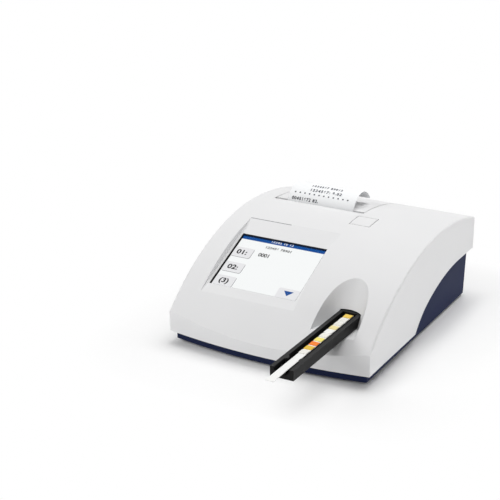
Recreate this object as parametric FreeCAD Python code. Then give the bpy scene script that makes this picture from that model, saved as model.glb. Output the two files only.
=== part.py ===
import FreeCAD, Part
import math
import os

from FreeCAD import Placement, Rotation, Vector

# Bench-top urine analyzer: arched housing with a touch screen, a strip tray on a rack drive, a reading head over
# it and a thermal printer under a hinged lid.
# Millimetres, +Z up, +Y towards the rear.  The origin is on the table, under the middle of the whole outline from
# the tip of the test strip to the rear wall.  A size named ..._BACK is a distance behind the two front corners.

# ---- driving dimensions: housing -------------------------------------------------------------------------------
HOUSING_WIDTH = 160.0
HOUSING_DEPTH = 192.4
HOUSING_HEIGHT = 75.0
FRONT_BOW = 7.6
FRONT_EDGE_Z = 24.8
REAR_DROP = 10.3
CREST_BACK = 124.0
WALL = 2.5
EDGE_RADIUS = 1.2
SHELL_BOTTOM_Z = 8.5
SKIRT_CREST_BACK = 163.0
SKIRT_CREST_Z = 39.0
SKIRT_REAR_RADIUS = 150.0
SKIRT_FRONT_RADIUS = 62.0
SKIRT_TURN = math.radians(24.0)
STRIP_REACH = 85.0

# ---- lower housing ---------------------------------------------------------------------------------------------
BASE_BOTTOM_Z = 2.0
BASE_FLOOR = 2.5
BASE_WALL = 2.2
BASE_SIDE_INSET = 3.6
BASE_FRONT_INSET = 4.2
BASE_REAR_INSET = 4.0
BASE_REAR_LEAN = 3.0
BASE_OVERLAP = 4.5
FOOT_RADIUS = 6.0
FOOT_POCKET = 1.0
FOOT_INSET = 20.0
FOOT_FRONT_BACK = 12.0
FOOT_REAR_BACK = 176.0
BOSS_RADIUS = 4.0
BOSS_SIDE_INSET = 10.5
BOSS_FRONT_BACK = 10.0
BOSS_REAR_INSET = 14.4
BOSS_SPLIT_Z = 10.0
HOUSING_SCREW_RADIUS = 1.5
HOUSING_SCREW_LENGTH = 14.0
SCREW_HEAD_RADIUS = 2.8
SCREW_HEAD_HEIGHT = 2.0

# ---- battery bay -----------------------------------------------------------------------------------------------
CELL_RADIUS = 7.1
CELL_LENGTH = 49.2
CELL_NUB_RADIUS = 2.7
CELL_NUB_LENGTH = 1.2
CELL_GAP = 0.6
CELL_COUNT = 6
CELL_SLACK = 1.0
BAY_FRONT_BACK = 25.0
BAY_END_ROOM = 5.6
BAY_WALL = 1.6
DOOR_THICKNESS = 1.8
DOOR_LAP = 1.8
DOOR_GAP = 0.2
DOOR_TONGUE = 1.0
DOOR_TRAVEL = 8.0
CONTACT_THICKNESS = 0.4
CONTACT_REACH = 2.0

# ---- touch screen ----------------------------------------------------------------------------------------------
FACET_SIDE_MARGIN = 2.5
FACET_SHIFT = 0.5
FACET_FRONT_BACK = 15.0
FACET_REAR_BACK = 89.0
SCREEN_X = -25.0
SCREEN_BACK = 48.0
SCREEN_WIDTH = 71.0
SCREEN_LENGTH = 54.5
SCREEN_LIP = 1.2
GLASS_MARGIN = 3.0
GLASS_THICKNESS = 1.1
GASKET_THICKNESS = 0.5
LCD_THICKNESS = 4.5
BRACKET_THICKNESS = 0.8
DISPLAY_SCREW_RADIUS = 1.0
DISPLAY_SCREW_SPAN = 44.0

# ---- strip port and tray ---------------------------------------------------------------------------------------
PORT_X = 48.3
PORT_HALF_WIDTH = 17.1
PORT_END_BACK = 27.9
PORT_FLOOR_Z = 30.3
PORT_LEAN = math.radians(35.3)
PORT_WALL = 2.0
PORT_REACH = 150.0
TRAY_X = 50.2
TRAY_WIDTH = 17.0
TRAY_BOTTOM_Z = 31.0
TRAY_TOP_Z = 38.2
TRAY_FRONT_BACK = -68.8
TRAY_REAR_BACK = 108.0
TRAY_TRAVEL = 64.0
TRAY_CLEARANCE = 0.3
CHANNEL_WIDTH = 11.2
CHANNEL_DEPTH = 4.4
CHANNEL_END_BACK = 30.5
BED_WIDTH = 6.0
BED_HEIGHT = 2.5
BED_FRONT_BACK = -53.8
NUB_REACH = 1.7
NUB_REAR_BACK = -49.2
NUB_LENGTH = 6.4
NUB_RAMP = 1.8
STRIP_WIDTH = 5.7
STRIP_THICKNESS = 0.4
STRIP_END_GAP = 0.4
PAD_LENGTH = 5.3
PAD_PITCH = 7.24
PAD_COUNT = 10
PAD_THICKNESS = 0.4
PAD_FIRST_BACK = 26.7
TILE_LENGTH = 12.0
TILE_WIDTH = 8.0
TILE_THICKNESS = 1.0

# ---- tray drive and reading head -------------------------------------------------------------------------------
DRIVE_BACK = 104.0
RACK_MODULE = 0.8
RACK_WIDTH = 6.0
PINION_TEETH = 16
WHEEL_MODULE = 0.6
WHEEL_TEETH = 30
MOTOR_PINION_TEETH = 10
GEAR_WIDTH = 3.0
SHAFT_RADIUS = 1.5
RUNNING_GAP = 0.06
GUIDE_WALL = 1.7
GUIDE_FLOOR = 2.0
GUIDE_FRONT_BACK = 42.5
GUIDE_REAR_BACK = 178.5
POST_RADIUS = 3.5
GUIDE_SCREW_RADIUS = 1.25
MOTOR_RADIUS = 7.5
MOTOR_LENGTH = 12.0
HEAD_FRONT_BACK = 52.0
HEAD_LENGTH = 26.0
HEAD_HEIGHT = 13.0
HEAD_BORE_RADIUS = 4.0
LENS_THICKNESS = 1.6

# ---- printer ---------------------------------------------------------------------------------------------------
LID_LEFT_X = -64.5
LID_RIGHT_X = 12.0
LID_FRONT_BACK = 132.2
LID_THICKNESS = 2.2
LID_GAP = 0.6
LID_OPEN_DEG = 80.0
SLOT_FRONT_BACK = 129.2
HINGE_RADIUS = 5.0
ROD_RADIUS = 1.5
RIB_THICKNESS = 2.0
REAR_LUG_DROP = 5.0
FRONT_LUG_DROP = 10.0
PAPER_X = -25.7
PAPER_WIDTH = 57.0
PAPER_THICKNESS = 0.2
PLATEN_RADIUS = 4.5
PLATEN_BACK = 135.5
PLATEN_DROP = 8.6
PLATEN_SHAFT_RADIUS = 2.0
PRINTER_MODULE = 0.6
PLATEN_TEETH = 16
IDLER_TEETH = 24
PRINTER_PINION_TEETH = 12
ROLL_RADIUS = 18.0
ROLL_BACK = 160.0
TROUGH_RADIUS = 19.0
TROUGH_DROP = 14.0
ROLL_REST_GAP = 0.3
CORE_RADIUS = 6.5
CORE_WALL = 1.0
PLATE = 2.0
CHASSIS_FRONT_BACK = 120.0
CURL_RADIUS = 17.0
CURL_LEAN = math.radians(68.0)
CURL_END = math.radians(62.0)

# ---- lid release -----------------------------------------------------------------------------------------------
BUTTON_X = 20.2
BUTTON_BACK = 114.2
BUTTON_SIZE = 16.0
BUTTON_GAP = 0.6
BUTTON_TRAVEL = 1.8
BUTTON_THICKNESS = 2.4
LEVER_PIVOT_BACK = 122.0
LEVER_PIVOT_DROP = 12.0

# ---- electronics and rear sockets ------------------------------------------------------------------------------
BOARD_LEFT_X = -72.0
BOARD_RIGHT_X = 28.0
BOARD_FRONT_BACK = 88.0
BOARD_Z = 12.0
BOARD_THICKNESS = 1.6
PANEL_LEFT_X = -50.0
PANEL_RIGHT_X = 28.0
PANEL_BOTTOM_Z = 9.0
PANEL_TOP_Z = 32.0
PANEL_BACK = 183.5
PANEL_THICKNESS = 2.0
SERIAL_X = 8.0
JACKSCREW_PITCH = 25.0
JACKSCREW_HOLE_RADIUS = 1.4
POWER_X = -38.0
KEYBOARD_X = -20.0

# ---- derived sizes ---------------------------------------------------------------------------------------------
FRONT_Y = (STRIP_REACH - HOUSING_DEPTH) / 2.0
HALF_WIDTH = HOUSING_WIDTH / 2.0
BOW_RADIUS = (HALF_WIDTH ** 2 + FRONT_BOW ** 2) / (2.0 * FRONT_BOW)
FRONT_RISE = HOUSING_HEIGHT - FRONT_EDGE_Z
REAR_RUN = HOUSING_DEPTH - CREST_BACK
FRONT_ARCH_RADIUS = (CREST_BACK ** 2 + FRONT_RISE ** 2) / (2.0 * FRONT_RISE)
REAR_ARCH_RADIUS = (REAR_RUN ** 2 + REAR_DROP ** 2) / (2.0 * REAR_DROP)
FLOOR_Z = BASE_BOTTOM_Z + BASE_FLOOR
FAR = 400.0


def at(back):
    """Y of a plane that lies this far behind the front corners."""
    return FRONT_Y + back


def arch_z(back, depth=0.0):
    """Height of the arched top, or of the surface this deep under it."""
    radius = FRONT_ARCH_RADIUS if back <= CREST_BACK else REAR_ARCH_RADIUS
    run = back - CREST_BACK
    return HOUSING_HEIGHT - radius + math.sqrt((radius - depth) ** 2 - run ** 2)


# ---- helpers ---------------------------------------------------------------------------------------------------
def block(x0, x1, y0, y1, z0, z1):
    return Part.makeBox(x1 - x0, y1 - y0, z1 - z0, Vector(x0, y0, z0))


def rod_x(x0, x1, y, z, radius):
    return Part.makeCylinder(radius, x1 - x0, Vector(x0, y, z), Vector(1, 0, 0))


def rod_y(y0, y1, x, z, radius):
    return Part.makeCylinder(radius, y1 - y0, Vector(x, y0, z), Vector(0, 1, 0))


def rod_z(z0, z1, x, y, radius):
    return Part.makeCylinder(radius, z1 - z0, Vector(x, y, z0), Vector(0, 0, 1))


def prism(points, direction):
    """Straight extrusion of a closed polygon."""
    face = Part.Face(Part.makePolygon(points + points[:1]))
    return face.extrude(direction)


def side_prism(outline, x0, x1):
    """Extrusion along X of (back, z) corners."""
    return prism([Vector(x0, at(back), z) for back, z in outline], Vector(x1 - x0, 0, 0))


def joined(first, *others):
    shape = first.fuse(list(others)) if others else first
    return shape.removeSplitter()


def arc_edge(start, middle, end):
    return Part.Arc(start, middle, end).toShape()


def line_edge(start, end):
    return Part.LineSegment(start, end).toShape()


def gear(teeth, module, x0, x1, y, z, tooth_angle, bore):
    """Spur gear about an X axis, with straight flanks and one tooth centred on tooth_angle (from +Y to +Z)."""
    pitch = module * teeth / 2.0
    root = pitch - 1.1 * module
    tip = pitch + 0.9 * module
    half = 0.42 * math.pi / teeth
    root_half = half + 1.1 * module * math.tan(math.radians(18)) / pitch
    tip_half = half - 0.9 * module * math.tan(math.radians(22)) / pitch
    corners = []
    for index in range(teeth):
        centre = tooth_angle + index * 2.0 * math.pi / teeth
        for radius, offset in ((root, -root_half), (tip, -tip_half), (tip, tip_half), (root, root_half)):
            angle = centre + offset
            corners.append(Vector(x0, y + radius * math.cos(angle), z + radius * math.sin(angle)))
    body = prism(corners, Vector(x1 - x0, 0, 0))
    return body.cut(rod_x(x0 - 1, x1 + 1, y, z, bore))


# ---- outer forms -----------------------------------------------------------------------------------------------
def arch_form(inset):
    """Everything under the arched top, lowered by inset and cut back from the side and rear walls."""
    left = -HALF_WIDTH + inset
    ahead = -FRONT_BOW - 8.0
    behind = HOUSING_DEPTH + 8.0
    below = -6.0

    def point(back, z):
        return Vector(left, at(back), z)

    start = point(ahead, arch_z(ahead, inset))
    crest = point(CREST_BACK, HOUSING_HEIGHT - inset)
    end = point(behind, arch_z(behind, inset))
    mid_front = (ahead + CREST_BACK) / 2.0
    mid_rear = (behind + CREST_BACK) / 2.0
    edges = [
        line_edge(point(ahead, below), start),
        arc_edge(start, point(mid_front, arch_z(mid_front, inset)), crest),
        arc_edge(crest, point(mid_rear, arch_z(mid_rear, inset)), end),
        line_edge(end, point(behind, below)),
        line_edge(point(behind, below), point(ahead, below)),
    ]
    return Part.Face(Part.Wire(edges)).extrude(Vector(HOUSING_WIDTH - 2.0 * inset, 0, 0))


def rear_band(x0, x1, front_back, rear_back, top_depth, bottom_depth):
    """Curved slab that follows the arch behind its crest, between two depths under it."""
    def arch_points(depth):
        backs = (front_back, (front_back + rear_back) / 2.0, rear_back)
        return [Vector(x0, at(back), arch_z(back, depth)) for back in backs]

    top = arch_points(top_depth)
    bottom = arch_points(bottom_depth)
    edges = [arc_edge(*top), line_edge(top[2], bottom[2]), arc_edge(*reversed(bottom)), line_edge(bottom[0], top[0])]
    return Part.Face(Part.Wire(edges)).extrude(Vector(x1 - x0, 0, 0))


def plan_form(side, front, rear, z0, z1):
    """Prism of the bowed plan, with separate insets from the side, front and rear walls."""
    radius = BOW_RADIUS - front
    centre_y = FRONT_Y - FRONT_BOW + BOW_RADIUS
    half = HALF_WIDTH - side
    corner_y = centre_y - math.sqrt(radius ** 2 - half ** 2)
    rear_y = at(HOUSING_DEPTH) - rear
    edges = [
        arc_edge(Vector(-half, corner_y, z0), Vector(0, centre_y - radius, z0), Vector(half, corner_y, z0)),
        line_edge(Vector(half, corner_y, z0), Vector(half, rear_y, z0)),
        line_edge(Vector(half, rear_y, z0), Vector(-half, rear_y, z0)),
        line_edge(Vector(-half, rear_y, z0), Vector(-half, corner_y, z0)),
    ]
    return Part.Face(Part.Wire(edges)).extrude(Vector(0, 0, z1 - z0))


def below_skirt(lift):
    """Region under the curved lower edge of the upper shell, with that edge lifted by lift."""
    rear_centre = (SKIRT_CREST_BACK, SKIRT_CREST_Z - SKIRT_REAR_RADIUS)

    def on_arc(centre, radius, angle):
        return (centre[0] - radius * math.sin(angle), centre[1] + radius * math.cos(angle))

    joint = on_arc(rear_centre, SKIRT_REAR_RADIUS, SKIRT_TURN)
    front_centre = (joint[0] + SKIRT_FRONT_RADIUS * math.sin(SKIRT_TURN),
                    joint[1] - SKIRT_FRONT_RADIUS * math.cos(SKIRT_TURN))
    foot_turn = math.acos((SHELL_BOTTOM_Z - front_centre[1]) / SKIRT_FRONT_RADIUS)
    foot = on_arc(front_centre, SKIRT_FRONT_RADIUS, foot_turn)
    front_mid = on_arc(front_centre, SKIRT_FRONT_RADIUS, (foot_turn + SKIRT_TURN) / 2.0)
    rear_mid = on_arc(rear_centre, SKIRT_REAR_RADIUS, SKIRT_TURN / 2.0)

    def point(place):
        return Vector(-FAR / 2.0, at(place[0]), place[1] + lift)

    ahead = (-FAR / 4.0, SHELL_BOTTOM_Z)
    crest = (SKIRT_CREST_BACK, SKIRT_CREST_Z)
    behind = (HOUSING_DEPTH + FAR / 4.0, SKIRT_CREST_Z)
    deep_behind = (behind[0], -FAR / 4.0)
    deep_ahead = (ahead[0], -FAR / 4.0)
    edges = [
        line_edge(point(ahead), point(foot)),
        arc_edge(point(foot), point(front_mid), point(joint)),
        arc_edge(point(joint), point(rear_mid), point(crest)),
        line_edge(point(crest), point(behind)),
        line_edge(point(behind), point(deep_behind)),
        line_edge(point(deep_behind), point(deep_ahead)),
        line_edge(point(deep_ahead), point(ahead)),
    ]
    return Part.Face(Part.Wire(edges)).extrude(Vector(FAR, 0, 0))


# ---- the plane of the screen -----------------------------------------------------------------------------------
FACET_WIDTH = SCREEN_WIDTH + 2.0 * FACET_SIDE_MARGIN
FACET_RUN = FACET_REAR_BACK - FACET_FRONT_BACK
FACET_RISE = arch_z(FACET_REAR_BACK) - arch_z(FACET_FRONT_BACK)
FACET_TILT = math.atan2(FACET_RISE, FACET_RUN)
SCREEN_Z = arch_z(FACET_FRONT_BACK) + (SCREEN_BACK - FACET_FRONT_BACK) * FACET_RISE / FACET_RUN
SCREEN_PLACE = Placement(Vector(SCREEN_X, at(SCREEN_BACK), SCREEN_Z),
                         Rotation(Vector(1, 0, 0), math.degrees(FACET_TILT)))


def on_screen(shape):
    """Moves a shape from the screen's own frame (X right, Y up the slope, Z out of it) into place."""
    moved = shape.copy()
    moved.Placement = SCREEN_PLACE.multiply(moved.Placement)
    return moved


def screen_slab(width, length, top, bottom):
    return on_screen(block(-width / 2.0, width / 2.0, -length / 2.0, length / 2.0, bottom, top))


def facet_form(lower, grow):
    """Space over the flat facet, lowered and widened by a wall to give the space inside the shell."""
    half = FACET_WIDTH / 2.0 + grow
    return on_screen(block(FACET_SHIFT - half, FACET_SHIFT + half, -FACET_RUN, FACET_RUN, -lower, 40.0))


GLASS_WIDTH = SCREEN_WIDTH + 2.0 * GLASS_MARGIN
GLASS_LENGTH = SCREEN_LENGTH + 2.0 * GLASS_MARGIN
GLASS_BOTTOM = -SCREEN_LIP - GLASS_THICKNESS
GASKET_BOTTOM = GLASS_BOTTOM - GASKET_THICKNESS
LCD_BOTTOM = GASKET_BOTTOM - LCD_THICKNESS


def display_screw_places():
    side = GLASS_WIDTH / 2.0 + 2.6
    end = DISPLAY_SCREW_SPAN / 2.0
    return [(x, y) for x in (-side, side) for y in (-end, end)]


def touch_glass():
    return screen_slab(GLASS_WIDTH, GLASS_LENGTH, -SCREEN_LIP, GLASS_BOTTOM)


def display_gasket():
    ring = screen_slab(GLASS_WIDTH, GLASS_LENGTH, GLASS_BOTTOM, GASKET_BOTTOM)
    return ring.cut(screen_slab(SCREEN_WIDTH, SCREEN_LENGTH, 0.0, LCD_BOTTOM))


def lcd_module():
    return screen_slab(GLASS_WIDTH, GLASS_LENGTH, GASKET_BOTTOM, LCD_BOTTOM)


def display_bracket():
    places = display_screw_places()
    side = places[-1][0] + 2.6
    top = LCD_BOTTOM
    bottom = LCD_BOTTOM - BRACKET_THICKNESS
    plate = screen_slab(GLASS_WIDTH, GLASS_LENGTH, top, bottom)
    plate = plate.cut(screen_slab(GLASS_WIDTH - 24.0, GLASS_LENGTH - 24.0, top + 1, bottom - 1))
    ears = [on_screen(block(min(0.9 * x, x / abs(x) * side), max(0.9 * x, x / abs(x) * side),
                            y - 3.0, y + 3.0, bottom, top)) for x, y in places]
    plate = joined(plate, *ears)
    holes = [on_screen(rod_z(bottom - 1, top + 1, x, y, DISPLAY_SCREW_RADIUS)) for x, y in places]
    return plate.cut(holes)


def display_screws():
    head_top = LCD_BOTTOM - BRACKET_THICKNESS
    screws = []
    for x, y in display_screw_places():
        shank = rod_z(head_top, LCD_BOTTOM + 3.5, x, y, DISPLAY_SCREW_RADIUS)
        head = rod_z(head_top - 1.2, head_top, x, y, 2.0 * DISPLAY_SCREW_RADIUS)
        screws.append(on_screen(joined(shank, head)))
    return Part.makeCompound(screws)


# ---- port, lid and button openings -----------------------------------------------------------------------------
def port_form(grow):
    """Round-ended recess slanting back over the strip tray; grow gives the outside of its moulded wall."""
    radius = PORT_HALF_WIDTH + grow
    rise = Vector(0, math.sin(PORT_LEAN), math.cos(PORT_LEAN))
    rearward = Vector(0, math.cos(PORT_LEAN), -math.sin(PORT_LEAN))
    across = Vector(radius, 0, 0)
    axis_y = at(PORT_END_BACK) - PORT_HALF_WIDTH / math.cos(PORT_LEAN)
    centre = Vector(PORT_X, axis_y, PORT_FLOOR_Z) - rise * PORT_REACH
    front = centre - rearward * PORT_REACH
    edges = [
        line_edge(centre - across, front - across),
        line_edge(front - across, front + across),
        line_edge(front + across, centre + across),
        arc_edge(centre + across, centre + rearward * radius, centre - across),
    ]
    tube = Part.Face(Part.Wire(edges)).extrude(rise * (2.0 * PORT_REACH))
    return tube.common(block(-FAR, FAR, -FAR, FAR, PORT_FLOOR_Z - grow, FAR))


def tray_doorway():
    half = TRAY_WIDTH / 2.0 + TRAY_CLEARANCE
    return block(TRAY_X - half, TRAY_X + half, at(PORT_END_BACK - 12.0), at(PORT_END_BACK + 14.0), PORT_FLOOR_Z,
                 TRAY_TOP_Z + 2.0 * TRAY_CLEARANCE)


HINGE_BACK = HOUSING_DEPTH - HINGE_RADIUS
HINGE_Z = arch_z(HINGE_BACK, HINGE_RADIUS)
TROUGH_Z = HINGE_Z - TROUGH_DROP
PLATEN_Z = arch_z(PLATEN_BACK) - PLATEN_DROP
REAR_LUG_Z = HINGE_Z - REAR_LUG_DROP
FRONT_LUG_Z = PLATEN_Z - FRONT_LUG_DROP


def hinge_cylinder(radius, x0, x1):
    return rod_x(x0, x1, at(HINGE_BACK), HINGE_Z, radius)


def lid_opening():
    left = LID_LEFT_X - LID_GAP
    right = LID_RIGHT_X + LID_GAP
    slab = block(left, right, at(SLOT_FRONT_BACK), at(HOUSING_DEPTH) + 1, HINGE_Z, HOUSING_HEIGHT + 1)
    return slab.fuse(hinge_cylinder(HINGE_RADIUS + LID_GAP, left, right))


def button_block(size, z0, z1):
    half = size / 2.0
    return block(BUTTON_X - half, BUTTON_X + half, at(BUTTON_BACK) - half, at(BUTTON_BACK) + half, z0, z1)


def housing_screw_places():
    x = HALF_WIDTH - BOSS_SIDE_INSET
    rear = HOUSING_DEPTH - BOSS_REAR_INSET
    return [(side * x, at(back)) for side in (-1, 1) for back in (BOSS_FRONT_BACK, rear)]


def chassis_screw_places():
    front = CHASSIS_FRONT_BACK - 4.5
    rear = ROLL_BACK + 10.0
    return [(PAPER_X - 31.0, at(front), FRONT_LUG_Z), (PAPER_X + 31.0, at(front), FRONT_LUG_Z),
            (LID_LEFT_X - 3.5, at(rear), REAR_LUG_Z), (LID_RIGHT_X + 5.0, at(rear), REAR_LUG_Z)]


def upper_shell():
    body = arch_form(0.0).common(plan_form(0.0, 0.0, 0.0, -6.0, HOUSING_HEIGHT + 5.0))
    body = body.cut(below_skirt(0.0))
    body = softened(body)
    body = body.cut([facet_form(0.0, 0.0), port_form(0.0)])
    cavity = arch_form(WALL).common(plan_form(WALL, WALL, WALL, -6.0, HOUSING_HEIGHT))
    cavity = cavity.cut([facet_form(WALL, WALL), port_form(PORT_WALL)])
    shell = body.cut(cavity)
    return add_openings(add_bosses(shell))


def softened(body):
    """Rounds the long edges between the arched top and the walls."""
    edges = []
    for edge in body.Edges:
        middle = edge.valueAt((edge.FirstParameter + edge.LastParameter) / 2.0)
        on_side = abs(abs(middle.x) - HALF_WIDTH) < 0.01
        if on_side and middle.z > SKIRT_CREST_Z + 5.0 and middle.y < at(HOUSING_DEPTH) - 5.0:
            edges.append(edge)
    return body.makeFillet(EDGE_RADIUS, edges)


def add_bosses(shell):
    under_roof = arch_form(1.0)
    posts = [rod_z(BOSS_SPLIT_Z, HOUSING_HEIGHT, x, y, BOSS_RADIUS) for x, y in housing_screw_places()]
    posts += [rod_z(z, HOUSING_HEIGHT, x, y, 3.2) for x, y, z in chassis_screw_places()]
    left = LID_LEFT_X - LID_GAP
    right = LID_RIGHT_X + LID_GAP
    rib_front = at(140.0)
    rib_rear = at(HOUSING_DEPTH) - 1.0
    posts.append(block(left - RIB_THICKNESS, left, rib_front, rib_rear, REAR_LUG_Z, HOUSING_HEIGHT))
    posts.append(block(right, right + RIB_THICKNESS, rib_front, rib_rear, REAR_LUG_Z, HOUSING_HEIGHT))
    posts = [post.common(under_roof) for post in posts]
    for x, y in display_screw_places():
        posts.append(on_screen(rod_z(LCD_BOTTOM, -WALL + 0.5, x, y, 2.4)))
    return joined(shell, *posts)


def add_openings(shell):
    pocket = screen_slab(GLASS_WIDTH + 0.6, GLASS_LENGTH + 0.6, -SCREEN_LIP, LCD_BOTTOM)
    window = screen_slab(SCREEN_WIDTH, SCREEN_LENGTH, 5.0, -5.0)
    cuts = [pocket, window, tray_doorway(), lid_opening()]
    cuts.append(button_block(BUTTON_SIZE + 2.0 * BUTTON_GAP, HOUSING_HEIGHT - 8.0, HOUSING_HEIGHT + 1.0))
    left = LID_LEFT_X - LID_GAP - RIB_THICKNESS
    right = LID_RIGHT_X + LID_GAP + RIB_THICKNESS
    cuts.append(hinge_cylinder(ROD_RADIUS, left, right))
    for x, y in housing_screw_places():
        cuts.append(rod_z(BOSS_SPLIT_Z - 1, BOSS_SPLIT_Z + HOUSING_SCREW_LENGTH, x, y, HOUSING_SCREW_RADIUS))
    for x, y, z in chassis_screw_places():
        cuts.append(rod_z(z - 1, z + 8.0, x, y, GUIDE_SCREW_RADIUS))
    for x, y in display_screw_places():
        cuts.append(on_screen(rod_z(LCD_BOTTOM - 1, LCD_BOTTOM + 3.5, x, y, DISPLAY_SCREW_RADIUS)))
    return shell.cut(cuts)


# ---- lower housing ---------------------------------------------------------------------------------------------
CELL_PITCH = 2.0 * CELL_RADIUS + CELL_GAP
CELL_FIRST_X = -(HALF_WIDTH - BASE_SIDE_INSET - BASE_WALL) + CELL_SLACK + 0.6 + CELL_RADIUS
DOOR_TOP_Z = BASE_BOTTOM_Z + DOOR_THICKNESS
CELL_Z = DOOR_TOP_Z + DOOR_GAP + 0.3 + CELL_RADIUS
BAY_LEFT_X = CELL_FIRST_X - CELL_RADIUS - CELL_SLACK
BAY_RIGHT_X = CELL_FIRST_X + (CELL_COUNT - 1) * CELL_PITCH + CELL_RADIUS + CELL_SLACK
BAY_REAR_BACK = BAY_FRONT_BACK + CELL_LENGTH + CELL_NUB_LENGTH + BAY_END_ROOM
BAY_TOP_Z = CELL_Z + CELL_RADIUS + 0.5
GUIDE_TOP_Z = TRAY_BOTTOM_Z - TRAY_CLEARANCE
GUIDE_BOTTOM_Z = GUIDE_TOP_Z - GUIDE_FLOOR
TRAY_HALF = TRAY_WIDTH / 2.0


def foot_places():
    x = HALF_WIDTH - BASE_SIDE_INSET - FOOT_INSET
    return [(side * x, at(back)) for side in (-1, 1) for back in (FOOT_FRONT_BACK, FOOT_REAR_BACK)]


def guide_post_places():
    side = TRAY_HALF + GUIDE_WALL + POST_RADIUS
    return [(TRAY_X + sign * side, at(back)) for sign in (-1, 1) for back in (56.0, 160.0)]


def board_post_places():
    rear_y = at(PANEL_BACK) - PANEL_THICKNESS - 20.0
    return [(x, y) for x in (BOARD_LEFT_X + 6.0, BOARD_RIGHT_X - 5.0) for y in (at(BOARD_FRONT_BACK) + 5.0, rear_y)]


def rear_wedge(offset):
    """Space behind the leaning rear wall of the lower housing, moved forward by offset."""
    top = HOUSING_DEPTH - BASE_REAR_INSET - offset
    bottom = top - BASE_REAR_LEAN
    low = BASE_BOTTOM_Z
    high = SKIRT_CREST_Z
    lean = BASE_REAR_LEAN / (high - low)
    outline = [(bottom - 10.0 * lean, low - 10.0), (top + 20.0 * lean, high + 20.0),
               (HOUSING_DEPTH + 20.0, high + 20.0), (HOUSING_DEPTH + 20.0, low - 10.0)]
    return side_prism(outline, -HALF_WIDTH, HALF_WIDTH)


def door_slot(gap):
    """Outline of the battery door with its two side tongues, grown by gap."""
    left = -HALF_WIDTH + BASE_SIDE_INSET
    right = BAY_RIGHT_X + DOOR_LAP
    front = at(BAY_FRONT_BACK) - DOOR_LAP
    rear = at(BAY_REAR_BACK) + DOOR_LAP
    plate = block(left, right + gap, front - gap, rear + gap, BASE_BOTTOM_Z, DOOR_TOP_Z + gap)
    tongue_z = BASE_BOTTOM_Z + 0.6
    reach = DOOR_TONGUE
    tongues = block(left, right + gap, front - reach - gap, rear + reach + gap, tongue_z - gap, tongue_z + 0.6 + gap)
    return plate.fuse(tongues)


def battery_door():
    return door_slot(0.0).removeSplitter()


def base_tray():
    outer = plan_form(BASE_SIDE_INSET, BASE_FRONT_INSET, BASE_REAR_INSET, BASE_BOTTOM_Z, HOUSING_HEIGHT)
    outer = outer.cut(rear_wedge(0.0)).common(below_skirt(BASE_OVERLAP))
    inner = plan_form(BASE_SIDE_INSET + BASE_WALL, BASE_FRONT_INSET + BASE_WALL, BASE_REAR_INSET, FLOOR_Z,
                      HOUSING_HEIGHT)
    inner = inner.cut(rear_wedge(BASE_WALL))
    base = outer.cut(inner)
    return base_cuts(base_additions(base, outer))


def base_additions(base, outer):
    parts = []
    bay = block(BAY_LEFT_X - BAY_WALL, BAY_RIGHT_X + BAY_WALL, at(BAY_FRONT_BACK) - BAY_WALL,
                at(BAY_REAR_BACK) + BAY_WALL, FLOOR_Z, BAY_TOP_Z + BAY_WALL)
    parts.append(bay)
    pad = block(-HALF_WIDTH, BAY_RIGHT_X + 6.0, at(BAY_FRONT_BACK) - 6.0, at(BAY_REAR_BACK) + 6.0,
                FLOOR_Z, DOOR_TOP_Z + 2.0)
    parts.append(pad.common(outer))
    for x, y in housing_screw_places():
        parts.append(rod_z(FLOOR_Z, BOSS_SPLIT_Z, x, y, BOSS_RADIUS))
    for x, y in board_post_places():
        parts.append(rod_z(FLOOR_Z, BOARD_Z, x, y, 3.0))
    for x, y in guide_post_places():
        parts.append(rod_z(FLOOR_Z, GUIDE_BOTTOM_Z, x, y, POST_RADIUS))
    panel_front = at(PANEL_BACK) - PANEL_THICKNESS
    niche = block(PANEL_LEFT_X - 2.0, PANEL_RIGHT_X + 2.0, panel_front, at(HOUSING_DEPTH),
                  PANEL_BOTTOM_Z - 2.0, PANEL_TOP_Z + 2.0)
    parts.append(niche.common(outer))
    return joined(base, *parts)


def base_cuts(base):
    cuts = [door_slot(DOOR_GAP)]
    cuts.append(block(BAY_LEFT_X, BAY_RIGHT_X, at(BAY_FRONT_BACK), at(BAY_REAR_BACK), BASE_BOTTOM_Z - 1, BAY_TOP_Z))
    for x, y in foot_places():
        cuts.append(rod_z(BASE_BOTTOM_Z - 1, BASE_BOTTOM_Z + FOOT_POCKET, x, y, FOOT_RADIUS + 0.1))
    for x, y in housing_screw_places():
        cuts.append(rod_z(BASE_BOTTOM_Z - 1, BOSS_SPLIT_Z + 1, x, y, HOUSING_SCREW_RADIUS + 0.1))
        cuts.append(rod_z(BASE_BOTTOM_Z - 1, BASE_BOTTOM_Z + 4.0, x, y, SCREW_HEAD_RADIUS + 0.2))
    for x, y in board_post_places():
        cuts.append(rod_z(BOARD_Z - 5.0, BOARD_Z + 1, x, y, GUIDE_SCREW_RADIUS))
    for x, y in guide_post_places():
        cuts.append(rod_z(GUIDE_BOTTOM_Z - 8.0, GUIDE_BOTTOM_Z + 1, x, y, GUIDE_SCREW_RADIUS))
    cuts.append(block(PANEL_LEFT_X, PANEL_RIGHT_X, at(PANEL_BACK), at(HOUSING_DEPTH), PANEL_BOTTOM_Z, PANEL_TOP_Z))
    rear = at(PANEL_BACK) + 1.0
    front = at(PANEL_BACK) - PANEL_THICKNESS - 1.0
    cuts.append(rod_y(front, rear, POWER_X, POWER_Z, 4.6))
    cuts.append(rod_y(front, rear, KEYBOARD_X, KEYBOARD_Z, 6.2))
    cuts.append(serial_outline(SERIAL_WIDTH / 2.0 + 1.0, front, rear))
    for x in jackscrew_xs():
        cuts.append(rod_y(front, rear, x, SERIAL_Z, 2.9))
    return base.cut(cuts)


def feet():
    top = BASE_BOTTOM_Z + FOOT_POCKET
    return Part.makeCompound([rod_z(0.0, top, x, y, FOOT_RADIUS) for x, y in foot_places()])


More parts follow.
